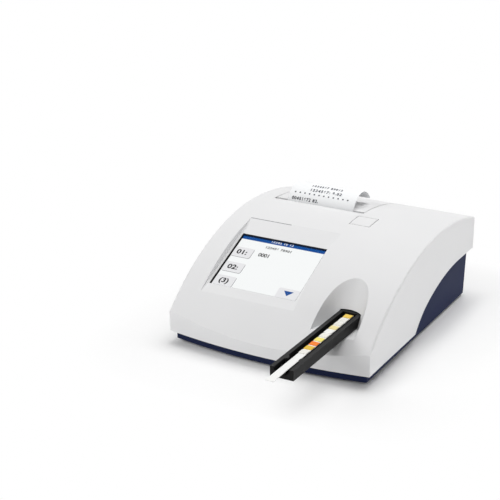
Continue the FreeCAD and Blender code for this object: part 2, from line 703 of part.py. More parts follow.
def screw_up(x, y, head_z, length, radius, head_radius, head_height):
    """Pan-head screw driven upwards, with its head under head_z."""
    shank = rod_z(head_z, head_z + length, x, y, radius)
    return joined(shank, rod_z(head_z - head_height, head_z, x, y, head_radius))


def screw_down(x, y, head_z, length, radius, head_radius, head_height):
    shank = rod_z(head_z - length, head_z, x, y, radius)
    return joined(shank, rod_z(head_z, head_z + head_height, x, y, head_radius))


def housing_screws():
    seat = BASE_BOTTOM_Z + 4.0
    return Part.makeCompound([screw_up(x, y, seat, HOUSING_SCREW_LENGTH, HOUSING_SCREW_RADIUS, SCREW_HEAD_RADIUS,
                                       SCREW_HEAD_HEIGHT) for x, y in housing_screw_places()])


def aa_cells():
    cells = []
    for index in range(CELL_COUNT):
        x = CELL_FIRST_X + index * CELL_PITCH
        nub_first = index % 2 == 0
        front = at(BAY_FRONT_BACK) + (CONTACT_REACH if nub_first else BAY_END_ROOM - CONTACT_REACH)
        body_start = front + (CELL_NUB_LENGTH if nub_first else 0.0)
        body = rod_y(body_start, body_start + CELL_LENGTH, x, CELL_Z, CELL_RADIUS)
        nub_start = front if nub_first else body_start + CELL_LENGTH
        cells.append(joined(body, rod_y(nub_start, nub_start + CELL_NUB_LENGTH, x, CELL_Z, CELL_NUB_RADIUS)))
    return Part.makeCompound(cells)


def battery_contacts():
    """One plate per cell end, with a bent tongue that reaches the cell."""
    contacts = []
    half = CELL_PITCH / 2.0 - 1.6
    for index in range(CELL_COUNT):
        x = CELL_FIRST_X + index * CELL_PITCH
        nub_first = index % 2 == 0
        for front_end in (True, False):
            wall = at(BAY_FRONT_BACK) if front_end else at(BAY_REAR_BACK)
            inward = 1.0 if front_end else -1.0
            face = wall + inward * CONTACT_THICKNESS
            plate = block(x - half, x + half, min(wall, face), max(wall, face), CELL_Z - 5.5, CELL_Z + 5.5)
            reach = CONTACT_REACH if front_end == nub_first else BAY_END_ROOM - CONTACT_REACH
            tongue = [(0.0, -4.5), (reach, -0.6), (reach, 0.6), (0.0, 4.5), (0.0, 4.0), (reach - 0.5, 0.3),
                      (reach - 0.5, -0.3), (0.0, -4.0)]
            corners = [Vector(x - 2.0, wall + inward * out, CELL_Z + up) for out, up in tongue]
            contacts.append(joined(plate, prism(corners, Vector(4.0, 0, 0))))
    return Part.makeCompound(contacts)


# ---- electronics and rear sockets ------------------------------------------------------------------------------
BOARD_TOP_Z = BOARD_Z + BOARD_THICKNESS
SERIAL_WIDTH = 16.9
SERIAL_HEIGHT = 8.4
SERIAL_Z = BOARD_TOP_Z + 6.3
POWER_Z = BOARD_TOP_Z + 5.5
KEYBOARD_Z = BOARD_TOP_Z + 6.6


def jackscrew_xs():
    return (SERIAL_X - JACKSCREW_PITCH / 2.0, SERIAL_X + JACKSCREW_PITCH / 2.0)


def serial_outline(half_top, y0, y1):
    """D-shaped prism of the serial socket."""
    grow = half_top - SERIAL_WIDTH / 2.0
    half_height = SERIAL_HEIGHT / 2.0 + grow
    half_bottom = half_top - 1.6
    corners = [(-half_top, half_height), (half_top, half_height), (half_bottom, -half_height),
               (-half_bottom, -half_height)]
    return prism([Vector(SERIAL_X + x, y0, SERIAL_Z + z) for x, z in corners], Vector(0, y1 - y0, 0))


def main_board():
    rear = at(PANEL_BACK) - PANEL_THICKNESS - 0.4
    board = block(BOARD_LEFT_X, BOARD_RIGHT_X, at(BOARD_FRONT_BACK), rear, BOARD_Z, BOARD_TOP_Z)
    cuts = [rod_z(BOARD_Z - 1, BOARD_TOP_Z + 1, x, y, GUIDE_SCREW_RADIUS + 0.1) for x, y in board_post_places()]
    for x, y in housing_screw_places():
        reach = BOSS_RADIUS + 0.6
        cuts.append(block(x - reach, x + reach, y - reach, y + reach + 10.0, BOARD_Z - 1, BOARD_TOP_Z + 1))
    return board.cut(cuts)


def board_components():
    chips = []
    for x, back, size, height in ((-40.0, 120.0, 20.0, 1.6), (-10.0, 112.0, 14.0, 1.4), (8.0, 136.0, 10.0, 1.4),
                                  (-58.0, 150.0, 12.0, 2.0)):
        half = size / 2.0
        chips.append(block(x - half, x + half, at(back) - half, at(back) + half, BOARD_TOP_Z, BOARD_TOP_Z + height))
    for index in range(3):
        chips.append(rod_z(BOARD_TOP_Z, BOARD_TOP_Z + 8.0, -62.0 + 9.0 * index, at(100.0), 3.2))
    return Part.makeCompound(chips)


def board_screws():
    return Part.makeCompound([screw_down(x, y, BOARD_TOP_Z, 6.0, GUIDE_SCREW_RADIUS, 2.4, 1.6)
                              for x, y in board_post_places()])


def power_jack():
    rear = at(PANEL_BACK) - PANEL_THICKNESS
    body = block(POWER_X - 4.5, POWER_X + 4.5, rear - 13.0, rear, BOARD_TOP_Z, BOARD_TOP_Z + 10.5)
    collar = rod_y(rear - 2.0, rear + PANEL_THICKNESS + 0.6, POWER_X, POWER_Z, 4.4)
    bore = rod_y(rear - 10.0, rear + 5.0, POWER_X, POWER_Z, 3.2)
    pin = rod_y(rear - 11.0, rear, POWER_X, POWER_Z, 1.0)
    return joined(joined(body, collar).cut(bore), pin)


def keyboard_port():
    rear = at(PANEL_BACK) - PANEL_THICKNESS
    body = block(KEYBOARD_X - 7.0, KEYBOARD_X + 7.0, rear - 12.5, rear, BOARD_TOP_Z, BOARD_TOP_Z + 13.0)
    collar = rod_y(rear - 2.0, rear + PANEL_THICKNESS + 0.6, KEYBOARD_X, KEYBOARD_Z, 6.0)
    bore = rod_y(rear - 6.5, rear + 5.0, KEYBOARD_X, KEYBOARD_Z, 4.75)
    key = rod_y(rear - 7.0, rear - 1.0, KEYBOARD_X, KEYBOARD_Z, 1.3)
    return joined(joined(body, collar).cut(bore), key)


def serial_connector():
    rear = at(PANEL_BACK) - PANEL_THICKNESS
    flange = block(SERIAL_X - 15.4, SERIAL_X + 15.4, rear - 0.8, rear, SERIAL_Z - 6.2, SERIAL_Z + 6.2)
    body = block(SERIAL_X - 9.5, SERIAL_X + 9.5, rear - 10.0, rear - 0.8, BOARD_TOP_Z, SERIAL_Z + 5.5)
    half = SERIAL_WIDTH / 2.0
    shroud = serial_outline(half, rear, rear + 5.8)
    shroud = shroud.cut(serial_outline(half - 0.5, rear + 0.1, rear + 6.0))
    pins = []
    for row, count in ((1.42, 5), (-1.42, 4)):
        for index in range(count):
            x = SERIAL_X + (index - (count - 1) / 2.0) * 2.76
            pins.append(rod_y(rear, rear + 5.0, x, SERIAL_Z + row, 0.5))
    holes = [rod_y(rear - 2.0, rear + 1.0, x, SERIAL_Z, 1.6) for x in jackscrew_xs()]
    return joined(flange, body, shroud, *pins).cut(holes)


def jackscrews():
    rear = at(PANEL_BACK) - PANEL_THICKNESS
    screws = []
    for x in jackscrew_xs():
        corners = [Vector(x + 2.7 * math.cos(turn), rear, SERIAL_Z + 2.7 * math.sin(turn))
                   for turn in (index * math.pi / 3.0 for index in range(6))]
        hexagon = prism(corners, Vector(0, 5.4, 0))
        stud = rod_y(rear - 5.0, rear, x, SERIAL_Z, 1.4)
        screws.append(joined(hexagon, stud).cut(rod_y(rear + 0.4, rear + 6.0, x, SERIAL_Z, JACKSCREW_HOLE_RADIUS)))
    return Part.makeCompound(screws)


# ---- strip tray, its drive and the reading head ----------------------------------------------------------------
CHANNEL_Z = TRAY_TOP_Z - CHANNEL_DEPTH
BED_Z = CHANNEL_Z + BED_HEIGHT
RACK_TOP_Z = TRAY_BOTTOM_Z + 3.4
RACK_PITCH_Z = TRAY_BOTTOM_Z + 1.1
PINION_PITCH = RACK_MODULE * PINION_TEETH / 2.0
DRIVE_Z = RACK_PITCH_Z - PINION_PITCH
WHEEL_PITCH = WHEEL_MODULE * WHEEL_TEETH / 2.0
MOTOR_DISTANCE = WHEEL_PITCH + WHEEL_MODULE * MOTOR_PINION_TEETH / 2.0
RACK_FRONT_BACK = DRIVE_BACK - TRAY_TRAVEL - 5.5
WHEEL_LEFT_X = TRAY_X - TRAY_HALF - GUIDE_WALL - 1.6 - GEAR_WIDTH
HEAD_BOTTOM_Z = TRAY_TOP_Z + 1.0
HEAD_TOP_Z = HEAD_BOTTOM_Z + HEAD_HEIGHT
TILE_BACK = HEAD_FRONT_BACK + HEAD_LENGTH / 2.0


def strip_tray():
    """Channelled slider: a raised bed carries the strip and two nubs on the walls centre it."""
    left = TRAY_X - TRAY_HALF
    right = TRAY_X + TRAY_HALF
    body = block(left, right, at(TRAY_FRONT_BACK), at(TRAY_REAR_BACK), TRAY_BOTTOM_Z, TRAY_TOP_Z)
    half = CHANNEL_WIDTH / 2.0
    channel = block(TRAY_X - half, TRAY_X + half, at(TRAY_FRONT_BACK) - 1, at(CHANNEL_END_BACK), CHANNEL_Z,
                    TRAY_TOP_Z + 1)
    bed = block(TRAY_X - BED_WIDTH / 2.0, TRAY_X + BED_WIDTH / 2.0, at(BED_FRONT_BACK), at(CHANNEL_END_BACK) + 1,
                CHANNEL_Z - 1, BED_Z)
    rack_pocket = block(TRAY_X - RACK_WIDTH / 2.0 - 0.2, TRAY_X + RACK_WIDTH / 2.0 + 0.2, at(RACK_FRONT_BACK) - 0.2,
                        at(TRAY_REAR_BACK) + 1, TRAY_BOTTOM_Z - 1, RACK_TOP_Z)
    tile = block(TRAY_X - TILE_WIDTH / 2.0, TRAY_X + TILE_WIDTH / 2.0, at(TILE_BACK) - TILE_LENGTH / 2.0,
                 at(TILE_BACK) + TILE_LENGTH / 2.0, TRAY_TOP_Z - TILE_THICKNESS, TRAY_TOP_Z + 1)
    return body.cut([channel.cut([bed, tray_nub(-1), tray_nub(1)]), rack_pocket, tile])


def tray_nub(side):
    """Ramped nub on one channel wall, side -1 or 1."""
    root_x = TRAY_X + side * (CHANNEL_WIDTH / 2.0 + 1.0)
    tip_x = TRAY_X + side * (CHANNEL_WIDTH / 2.0 - NUB_REACH)
    wall_x = TRAY_X + side * CHANNEL_WIDTH / 2.0
    front = at(NUB_REAR_BACK - NUB_LENGTH)
    rear = at(NUB_REAR_BACK)
    outline = [(root_x, front), (wall_x, front), (tip_x, front + NUB_RAMP), (tip_x, rear - NUB_RAMP), (wall_x, rear),
               (root_x, rear)]
    return prism([Vector(x, y, CHANNEL_Z - 1) for x, y in outline], Vector(0, 0, TRAY_TOP_Z - CHANNEL_Z + 1))


def tray_rack():
    """Straight rack under the inner half of the tray; a tooth gap stands over the drive pinion."""
    pitch = math.pi * RACK_MODULE
    tip_z = RACK_PITCH_Z - 0.9 * RACK_MODULE
    root_z = RACK_PITCH_Z + 1.1 * RACK_MODULE
    half = 0.42 * pitch / 2.0
    tip_half = half - 0.9 * RACK_MODULE * math.tan(math.radians(20))
    root_half = half + 1.1 * RACK_MODULE * math.tan(math.radians(20))
    front = at(RACK_FRONT_BACK)
    rear = at(TRAY_REAR_BACK)
    first = math.ceil((front + root_half - at(DRIVE_BACK)) / pitch - 0.5)
    last = math.floor((rear - root_half - at(DRIVE_BACK)) / pitch - 0.5)
    x0 = TRAY_X - RACK_WIDTH / 2.0
    outline = [Vector(x0, front, RACK_TOP_Z), Vector(x0, front, root_z)]
    for index in range(first, last + 1):
        y = at(DRIVE_BACK) + (index + 0.5) * pitch
        outline += [Vector(x0, y - root_half, root_z), Vector(x0, y - tip_half, tip_z),
                    Vector(x0, y + tip_half, tip_z), Vector(x0, y + root_half, root_z)]
    outline += [Vector(x0, rear, root_z), Vector(x0, rear, RACK_TOP_Z)]
    return prism(outline, Vector(RACK_WIDTH, 0, 0))


def reference_tile():
    return block(TRAY_X - TILE_WIDTH / 2.0, TRAY_X + TILE_WIDTH / 2.0, at(TILE_BACK) - TILE_LENGTH / 2.0,
                 at(TILE_BACK) + TILE_LENGTH / 2.0, TRAY_TOP_Z - TILE_THICKNESS, TRAY_TOP_Z)


def test_strip():
    half = STRIP_WIDTH / 2.0
    return block(TRAY_X - half, TRAY_X + half, at(-STRIP_REACH), at(CHANNEL_END_BACK) - STRIP_END_GAP, BED_Z,
                 BED_Z + STRIP_THICKNESS)


def reagent_pads():
    half = STRIP_WIDTH / 2.0
    top = BED_Z + STRIP_THICKNESS
    pads = []
    for index in range(PAD_COUNT):
        centre = at(PAD_FIRST_BACK - index * PAD_PITCH)
        pads.append(block(TRAY_X - half, TRAY_X + half, centre - PAD_LENGTH / 2.0, centre + PAD_LENGTH / 2.0, top,
                          top + PAD_THICKNESS))
    return Part.makeCompound(pads)


def tray_guide():
    """U-shaped guide rail with a window for the pinion, screw ears and two legs that carry the pinion shaft."""
    inner = TRAY_HALF + TRAY_CLEARANCE
    outer = TRAY_HALF + GUIDE_WALL
    front = at(GUIDE_FRONT_BACK)
    rear = at(GUIDE_REAR_BACK)
    rail = block(TRAY_X - outer, TRAY_X + outer, front, rear, GUIDE_BOTTOM_Z, HEAD_BOTTOM_Z)
    rail = rail.cut(block(TRAY_X - inner, TRAY_X + inner, front - 1, rear - 2.0, GUIDE_TOP_Z, HEAD_BOTTOM_Z + 1))
    ears = [joined(rod_z(GUIDE_BOTTOM_Z, GUIDE_TOP_Z, x, y, POST_RADIUS),
                   block(min(x, TRAY_X - (outer if x < TRAY_X else -outer)),
                         max(x, TRAY_X - (outer if x < TRAY_X else -outer)),
                         y - POST_RADIUS, y + POST_RADIUS, GUIDE_BOTTOM_Z, GUIDE_TOP_Z))
            for x, y in guide_post_places()]
    legs = []
    for x0 in (TRAY_X - outer, TRAY_X + outer - GUIDE_WALL):
        legs.append(block(x0, x0 + GUIDE_WALL, at(DRIVE_BACK) - 5.0, at(DRIVE_BACK) + 5.0, DRIVE_Z - 4.0,
                          GUIDE_BOTTOM_Z))
    plate_x = WHEEL_LEFT_X - 1.0 - PLATE
    motor_y = at(DRIVE_BACK) - MOTOR_DISTANCE
    legs.append(block(plate_x, plate_x + PLATE, motor_y - MOTOR_RADIUS, at(DRIVE_BACK) + 12.0, DRIVE_Z - 5.0,
                      GUIDE_BOTTOM_Z + 4.0))
    legs.append(block(plate_x, TRAY_X - outer, at(DRIVE_BACK) + 10.0, at(DRIVE_BACK) + 12.0, DRIVE_Z - 5.0,
                      GUIDE_BOTTOM_Z + 4.0))
    guide = joined(rail, *ears, *legs)
    cuts = [rod_z(GUIDE_BOTTOM_Z - 1, GUIDE_TOP_Z + 1, x, y, GUIDE_SCREW_RADIUS + 0.1) for x, y in guide_post_places()]
    window = RACK_WIDTH / 2.0 + 0.6
    cuts.append(block(TRAY_X - window, TRAY_X + window, at(DRIVE_BACK) - 8.0, at(DRIVE_BACK) + 8.0,
                      GUIDE_BOTTOM_Z - 1, GUIDE_TOP_Z + 1))
    cuts.append(rod_x(plate_x - 1, TRAY_X + outer + 1, at(DRIVE_BACK), DRIVE_Z, SHAFT_RADIUS + RUNNING_GAP))
    cuts.append(rod_x(plate_x - 1, plate_x + PLATE + 1, motor_y, DRIVE_Z, 2.0))
    return guide.cut(cuts)


def guide_screws():
    return Part.makeCompound([screw_down(x, y, GUIDE_TOP_Z, 9.0, GUIDE_SCREW_RADIUS, 2.4, 1.6)
                              for x, y in guide_post_places()])


def tray_pinion():
    """Rack pinion and its reduction wheel."""
    half = RACK_WIDTH / 2.0
    y = at(DRIVE_BACK)
    return gear(PINION_TEETH, RACK_MODULE, TRAY_X - half, TRAY_X + half, y, DRIVE_Z, math.pi / 2.0, SHAFT_RADIUS)


def reduction_wheel():
    return gear(WHEEL_TEETH, WHEEL_MODULE, WHEEL_LEFT_X, WHEEL_LEFT_X + GEAR_WIDTH, at(DRIVE_BACK), DRIVE_Z,
                math.pi, SHAFT_RADIUS)


def pinion_shaft():
    left = WHEEL_LEFT_X - 1.0 - PLATE
    return rod_x(left, TRAY_X + TRAY_HALF + GUIDE_WALL, at(DRIVE_BACK), DRIVE_Z, SHAFT_RADIUS)


def motor_pinion():
    tooth = math.pi / MOTOR_PINION_TEETH
    y = at(DRIVE_BACK) - MOTOR_DISTANCE
    wheel = gear(MOTOR_PINION_TEETH, WHEEL_MODULE, WHEEL_LEFT_X, WHEEL_LEFT_X + GEAR_WIDTH, y, DRIVE_Z, tooth, 0.5)
    left = WHEEL_LEFT_X - 1.0 - PLATE
    return joined(wheel, rod_x(left + 0.2, WHEEL_LEFT_X + GEAR_WIDTH, y, DRIVE_Z, 0.9))


def tray_motor():
    right = WHEEL_LEFT_X - 1.0 - PLATE
    y = at(DRIVE_BACK) - MOTOR_DISTANCE
    can = rod_x(right - MOTOR_LENGTH, right, y, DRIVE_Z, MOTOR_RADIUS)
    return can.cut(rod_x(right - 4.0, right + 1.0, y, DRIVE_Z, 1.2))


def head_centre_y():
    return at(HEAD_FRONT_BACK) + HEAD_LENGTH / 2.0


def optics_head():
    half = TRAY_HALF + GUIDE_WALL
    y = head_centre_y()
    body = block(TRAY_X - half, TRAY_X + half, at(HEAD_FRONT_BACK), at(HEAD_FRONT_BACK) + HEAD_LENGTH,
                 HEAD_BOTTOM_Z, HEAD_TOP_Z)
    bore = rod_z(HEAD_BOTTOM_Z - 1, HEAD_TOP_Z + 1, TRAY_X, y, HEAD_BORE_RADIUS - 0.8)
    seat = rod_z(HEAD_TOP_Z - 6.0, HEAD_TOP_Z + 1, TRAY_X, y, HEAD_BORE_RADIUS)
    tips = [Part.makeCone(0.01, 6.0, 6.0, Vector(TRAY_X, y, HEAD_BOTTOM_Z + 4.0), Vector(0, 0, -1))]
    return body.cut([bore, seat] + tips)


def optics_lens():
    base_z = HEAD_TOP_Z - 6.0
    return rod_z(base_z, base_z + LENS_THICKNESS, TRAY_X, head_centre_y(), HEAD_BORE_RADIUS)


def led_board():
    half = TRAY_HALF + GUIDE_WALL
    y = head_centre_y()
    board = block(TRAY_X - half, TRAY_X + half, y - 12.0, y + 12.0, HEAD_TOP_Z, HEAD_TOP_Z + BOARD_THICKNESS)
    leds = []
    for turn in range(4):
        angle = math.pi / 4.0 + turn * math.pi / 2.0
        leds.append(block(TRAY_X + 7.0 * math.cos(angle) - 1.6, TRAY_X + 7.0 * math.cos(angle) + 1.6,
                          y + 7.0 * math.sin(angle) - 1.6, y + 7.0 * math.sin(angle) + 1.6,
                          HEAD_TOP_Z + BOARD_THICKNESS, HEAD_TOP_Z + BOARD_THICKNESS + 1.2))
    return joined(board, *leds)


def photodiode():
    top = HEAD_TOP_Z
    can = rod_z(top - 3.5, top, TRAY_X, head_centre_y(), 2.3)
    return joined(can, rod_z(top - 0.8, top, TRAY_X, head_centre_y(), 2.8))


# ---- printer ---------------------------------------------------------------------------------------------------
PLATEN_PITCH = PRINTER_MODULE * PLATEN_TEETH / 2.0
IDLER_PITCH = PRINTER_MODULE * IDLER_TEETH / 2.0
PRINTER_PINION_PITCH = PRINTER_MODULE * PRINTER_PINION_TEETH / 2.0
HINGE_ARM = math.hypot(HINGE_BACK - PLATEN_BACK, HINGE_Z - PLATEN_Z)
LIFT_ANGLE = math.atan2(PLATEN_Z - HINGE_Z, HINGE_BACK - PLATEN_BACK)
IDLER_BACK = PLATEN_BACK - (PLATEN_PITCH + IDLER_PITCH) * math.sin(LIFT_ANGLE)
IDLER_Z = PLATEN_Z - (PLATEN_PITCH + IDLER_PITCH) * math.cos(LIFT_ANGLE)
MOTOR_TURN = math.radians(-80.0)
PRINTER_MOTOR_BACK = IDLER_BACK + (IDLER_PITCH + PRINTER_PINION_PITCH) * math.cos(MOTOR_TURN)
PRINTER_MOTOR_Z = IDLER_Z + (IDLER_PITCH + PRINTER_PINION_PITCH) * math.sin(MOTOR_TURN)
WEB_GAP = 0.05
PAPER_REAR_BACK = PLATEN_BACK - PLATEN_RADIUS - WEB_GAP
PAPER_FRONT_BACK = PAPER_REAR_BACK - PAPER_THICKNESS
PAPER_LEFT_X = PAPER_X - PAPER_WIDTH / 2.0
PAPER_RIGHT_X = PAPER_X + PAPER_WIDTH / 2.0
BAY_PLATE_LEFT = PAPER_LEFT_X - 1.5
BAY_PLATE_RIGHT = PAPER_RIGHT_X + 1.5
ROLL_Z = TROUGH_Z - (TROUGH_RADIUS - ROLL_RADIUS) + ROLL_REST_GAP
TRAIN_LEFT_X = BAY_PLATE_RIGHT + PLATE + 0.5
TRAIN_RIGHT_X = TRAIN_LEFT_X + GEAR_WIDTH
OUTER_PLATE_X = TRAIN_RIGHT_X + 0.5
OUTER_PLATE = 1.6
LUG_THICKNESS = 2.4


def printer_lid():
    plate = rear_band(LID_LEFT_X, LID_RIGHT_X, LID_FRONT_BACK, HINGE_BACK, 0.0, LID_THICKNESS)
    barrel = hinge_cylinder(HINGE_RADIUS, LID_LEFT_X, LID_RIGHT_X)
    ears = []
    ear_top = arch_z(PLATEN_BACK, 1.0)
    for x0 in (BAY_PLATE_LEFT - PLATE, BAY_PLATE_RIGHT):
        ear = block(x0, x0 + PLATE, at(PLATEN_BACK) - 3.2, at(PLATEN_BACK) + 6.0, PLATEN_Z, ear_top)
        ears.append(ear)
        ears.append(rod_x(x0, x0 + PLATE, at(PLATEN_BACK), PLATEN_Z, 3.2))
    latch_x = OUTER_PLATE_X
    tab = block(latch_x, LID_RIGHT_X - 0.1, at(PLATEN_BACK), at(PLATEN_BACK) + 4.0, PLATEN_Z - 2.5, ear_top)
    ribs = []
    for index in range(3):
        x = PAPER_LEFT_X + 8.0 + index * (PAPER_WIDTH - 16.0) / 2.0
        ribs.append(rear_band(x - 0.8, x + 0.8, PLATEN_BACK + 8.0, HINGE_BACK, 1.0, LID_THICKNESS + 1.4))
    lid = joined(plate, barrel, tab, *ears, *ribs)
    cuts = [hinge_cylinder(ROD_RADIUS + RUNNING_GAP, LID_LEFT_X - 1, LID_RIGHT_X + 1)]
    cuts.append(rod_x(BAY_PLATE_LEFT - 10, BAY_PLATE_RIGHT + 10, at(PLATEN_BACK), PLATEN_Z,
                      PLATEN_SHAFT_RADIUS + RUNNING_GAP))
    return lid.cut(cuts)


def lid_hinge_rod():
    left = LID_LEFT_X - LID_GAP - RIB_THICKNESS
    right = LID_RIGHT_X + LID_GAP + RIB_THICKNESS
    return hinge_cylinder(ROD_RADIUS, left, right)


def platen_roller():
    rubber = rod_x(PAPER_LEFT_X - 0.5, PAPER_RIGHT_X + 0.5, at(PLATEN_BACK), PLATEN_Z, PLATEN_RADIUS)
    shaft = rod_x(BAY_PLATE_LEFT - PLATE - 0.8, TRAIN_RIGHT_X, at(PLATEN_BACK), PLATEN_Z, PLATEN_SHAFT_RADIUS)
    return joined(rubber, shaft)


def platen_gear():
    toward_idler = math.atan2(IDLER_Z - PLATEN_Z, IDLER_BACK - PLATEN_BACK)
    return gear(PLATEN_TEETH, PRINTER_MODULE, TRAIN_LEFT_X, TRAIN_RIGHT_X, at(PLATEN_BACK), PLATEN_Z, toward_idler,
                PLATEN_SHAFT_RADIUS)


def idler_phase():
    toward_platen = math.atan2(PLATEN_Z - IDLER_Z, PLATEN_BACK - IDLER_BACK)
    return toward_platen + math.pi / IDLER_TEETH


def idler_gear():
    return gear(IDLER_TEETH, PRINTER_MODULE, TRAIN_LEFT_X, TRAIN_RIGHT_X, at(IDLER_BACK), IDLER_Z, idler_phase(),
                SHAFT_RADIUS + RUNNING_GAP)


def idler_pin():
    return rod_x(BAY_PLATE_RIGHT, OUTER_PLATE_X + OUTER_PLATE, at(IDLER_BACK), IDLER_Z, SHAFT_RADIUS)


def printer_pinion():
    """Motor pinion, turned so that its teeth stand in the idler's gaps."""
    step = 2.0 * math.pi / IDLER_TEETH
    offset = (MOTOR_TURN - idler_phase()) / step
    offset -= math.floor(offset)
    pinion_step = 2.0 * math.pi / PRINTER_PINION_TEETH
    phase = MOTOR_TURN + math.pi + (0.5 + offset) * pinion_step
    y = at(PRINTER_MOTOR_BACK)
    wheel = gear(PRINTER_PINION_TEETH, PRINTER_MODULE, TRAIN_LEFT_X, TRAIN_RIGHT_X, y, PRINTER_MOTOR_Z, phase, 0.5)
    return joined(wheel, rod_x(TRAIN_LEFT_X, OUTER_PLATE_X + OUTER_PLATE - 0.2, y, PRINTER_MOTOR_Z, 0.9))


def printer_motor():
    left = OUTER_PLATE_X + OUTER_PLATE
    y = at(PRINTER_MOTOR_BACK)
    return rod_x(left, left + 15.0, y, PRINTER_MOTOR_Z, MOTOR_RADIUS)


def trough(radius, x0, x1):
    return rod_x(x0, x1, at(ROLL_BACK), TROUGH_Z, radius)


def printer_chassis():
    """Side plates, paper trough, front wall with the head's seat, screw lugs and the outer plate of the gear train."""
    left = BAY_PLATE_LEFT - PLATE
    right = BAY_PLATE_RIGHT + PLATE
    outer = TROUGH_RADIUS + PLATE
    rear_wall = ROLL_BACK + outer
    low = TROUGH_Z - outer
    floor = low + 4.0
    web_end_z = TROUGH_Z - 7.0
    rim = [(CHASSIS_FRONT_BACK, FRONT_LUG_Z), (PLATEN_BACK + 5.0, FRONT_LUG_Z), (PLATEN_BACK + 9.0, REAR_LUG_Z + 2.0),
           (rear_wall, REAR_LUG_Z - 4.0)]
    front_box = side_prism([(CHASSIS_FRONT_BACK, floor)] + rim + [(rear_wall, TROUGH_Z), (ROLL_BACK - 12.0, floor)],
                           left, right)
    outline = side_prism([(CHASSIS_FRONT_BACK, low)] + rim + [(rear_wall, low)], left, right)
    body = front_box.fuse(trough(outer, left, right).common(outline)).removeSplitter()
    head_wall = block(PAPER_X - 24.0, PAPER_X + 24.0, at(CHASSIS_FRONT_BACK), at(CHASSIS_FRONT_BACK) + PLATE,
                      FRONT_LUG_Z - 4.0, PLATEN_Z + 2.0)
    hollow = trough(TROUGH_RADIUS, BAY_PLATE_LEFT, BAY_PLATE_RIGHT)
    front_room = side_prism([(CHASSIS_FRONT_BACK + PLATE, web_end_z - 3.0), (CHASSIS_FRONT_BACK + PLATE, FAR / 4.0),
                             (ROLL_BACK + TROUGH_RADIUS, FAR / 4.0), (ROLL_BACK + TROUGH_RADIUS, TROUGH_Z),
                             (ROLL_BACK - TROUGH_RADIUS + 3.0, TROUGH_Z - 10.0),
                             (ROLL_BACK - TROUGH_RADIUS, web_end_z - 3.0)], BAY_PLATE_LEFT, BAY_PLATE_RIGHT)
    body = body.cut([hollow, front_room])
    extras = [head_wall]
    for x, y, z in chassis_screw_places():
        near = left if x < PAPER_X else right
        if y < at(CHASSIS_FRONT_BACK):
            extras.append(block(x - 3.6, x + 3.6, y - 3.6, at(CHASSIS_FRONT_BACK) + 1.0, z - LUG_THICKNESS, z))
        else:
            extras.append(block(min(x - 3.6, near), max(x + 3.6, near), y - 3.6, y + 3.6, z - LUG_THICKNESS, z))
            outward = -1.0 if x < PAPER_X else 1.0
            extras.append(block(min(near, near + outward), max(near, near + outward), y - 3.6, y + 3.6,
                                z - 8.0, z))
    plate_front = PRINTER_MOTOR_BACK - MOTOR_RADIUS
    plate_rear = PRINTER_MOTOR_BACK + MOTOR_RADIUS
    plate_low = PRINTER_MOTOR_Z - MOTOR_RADIUS
    extras.append(block(OUTER_PLATE_X, OUTER_PLATE_X + OUTER_PLATE, at(plate_front), at(plate_rear), plate_low - 2.0,
                        IDLER_Z + 3.5))
    extras.append(block(right, OUTER_PLATE_X + OUTER_PLATE, at(plate_front), at(plate_rear), plate_low - 2.0,
                        plate_low))
    body = joined(body, *extras)
    cuts = [rod_z(z - LUG_THICKNESS - 1, z + 1, x, y, GUIDE_SCREW_RADIUS + 0.1) for x, y, z in chassis_screw_places()]
    cuts.append(rod_x(BAY_PLATE_RIGHT - 1, OUTER_PLATE_X + OUTER_PLATE + 1, at(IDLER_BACK), IDLER_Z, SHAFT_RADIUS))
    cuts.append(rod_x(TRAIN_LEFT_X, OUTER_PLATE_X + OUTER_PLATE + 1, at(PRINTER_MOTOR_BACK), PRINTER_MOTOR_Z, 1.6))
    return body.cut(cuts)


def chassis_screws():
    return Part.makeCompound([screw_up(x, y, z - LUG_THICKNESS, 9.0, GUIDE_SCREW_RADIUS, 2.4, 1.6)
                              for x, y, z in chassis_screw_places()])


HEAD_FACE_BACK = PAPER_FRONT_BACK - 0.3
PRINT_HEAD_DEPTH = 4.0


def print_head():
    """Ceramic head on its cooling bar, with fins behind."""
    face = at(HEAD_FACE_BACK)
    left = PAPER_LEFT_X - 0.5
    right = PAPER_RIGHT_X + 0.5
    bar = block(left, right, face - PRINT_HEAD_DEPTH, face - 1.0, PLATEN_Z - 8.0, PLATEN_Z + 4.5)
    ceramic = block(left + 1.0, right - 1.0, face - 1.0, face, PLATEN_Z - 4.0, PLATEN_Z + 4.5)
    fins = [block(left, right, face - PRINT_HEAD_DEPTH - 1.5, face - PRINT_HEAD_DEPTH, z, z + 1.0)
            for z in (PLATEN_Z + 1.5, PLATEN_Z + 3.5)]
    pegs = [block(x - 4.0, x + 4.0, at(CHASSIS_FRONT_BACK) + PLATE, face - 1.5, FRONT_LUG_Z - 8.0, PLATEN_Z - 8.0)
            for x in (left + 6.0, right - 6.0)]
    return joined(bar, ceramic, *fins, *pegs)


def head_springs():
    face = at(HEAD_FACE_BACK) - PRINT_HEAD_DEPTH
    start = at(CHASSIS_FRONT_BACK) + PLATE
    return Part.makeCompound([rod_y(start, face, PAPER_X + side, PLATEN_Z - 3.0, 2.0) for side in (-18.0, 18.0)])


def tear_bar():
    """Toothed strip on the front edge of the paper slot."""
    front = at(SLOT_FRONT_BACK)
    left = PAPER_LEFT_X - 2.0
    right = PAPER_RIGHT_X + 2.0
    low = arch_z(SLOT_FRONT_BACK, WALL) - 1.0
    high = arch_z(SLOT_FRONT_BACK) - 0.9
    count = 24
    step = (right - left) / count
    corners = [Vector(left, front, low), Vector(right, front, low), Vector(right, front, high)]
    for index in range(count):
        x = right - index * step
        corners.append(Vector(x - step / 2.0, front, high + 0.7))
        corners.append(Vector(x - step, front, high))
    return prism(corners, Vector(0, 0.4, 0))


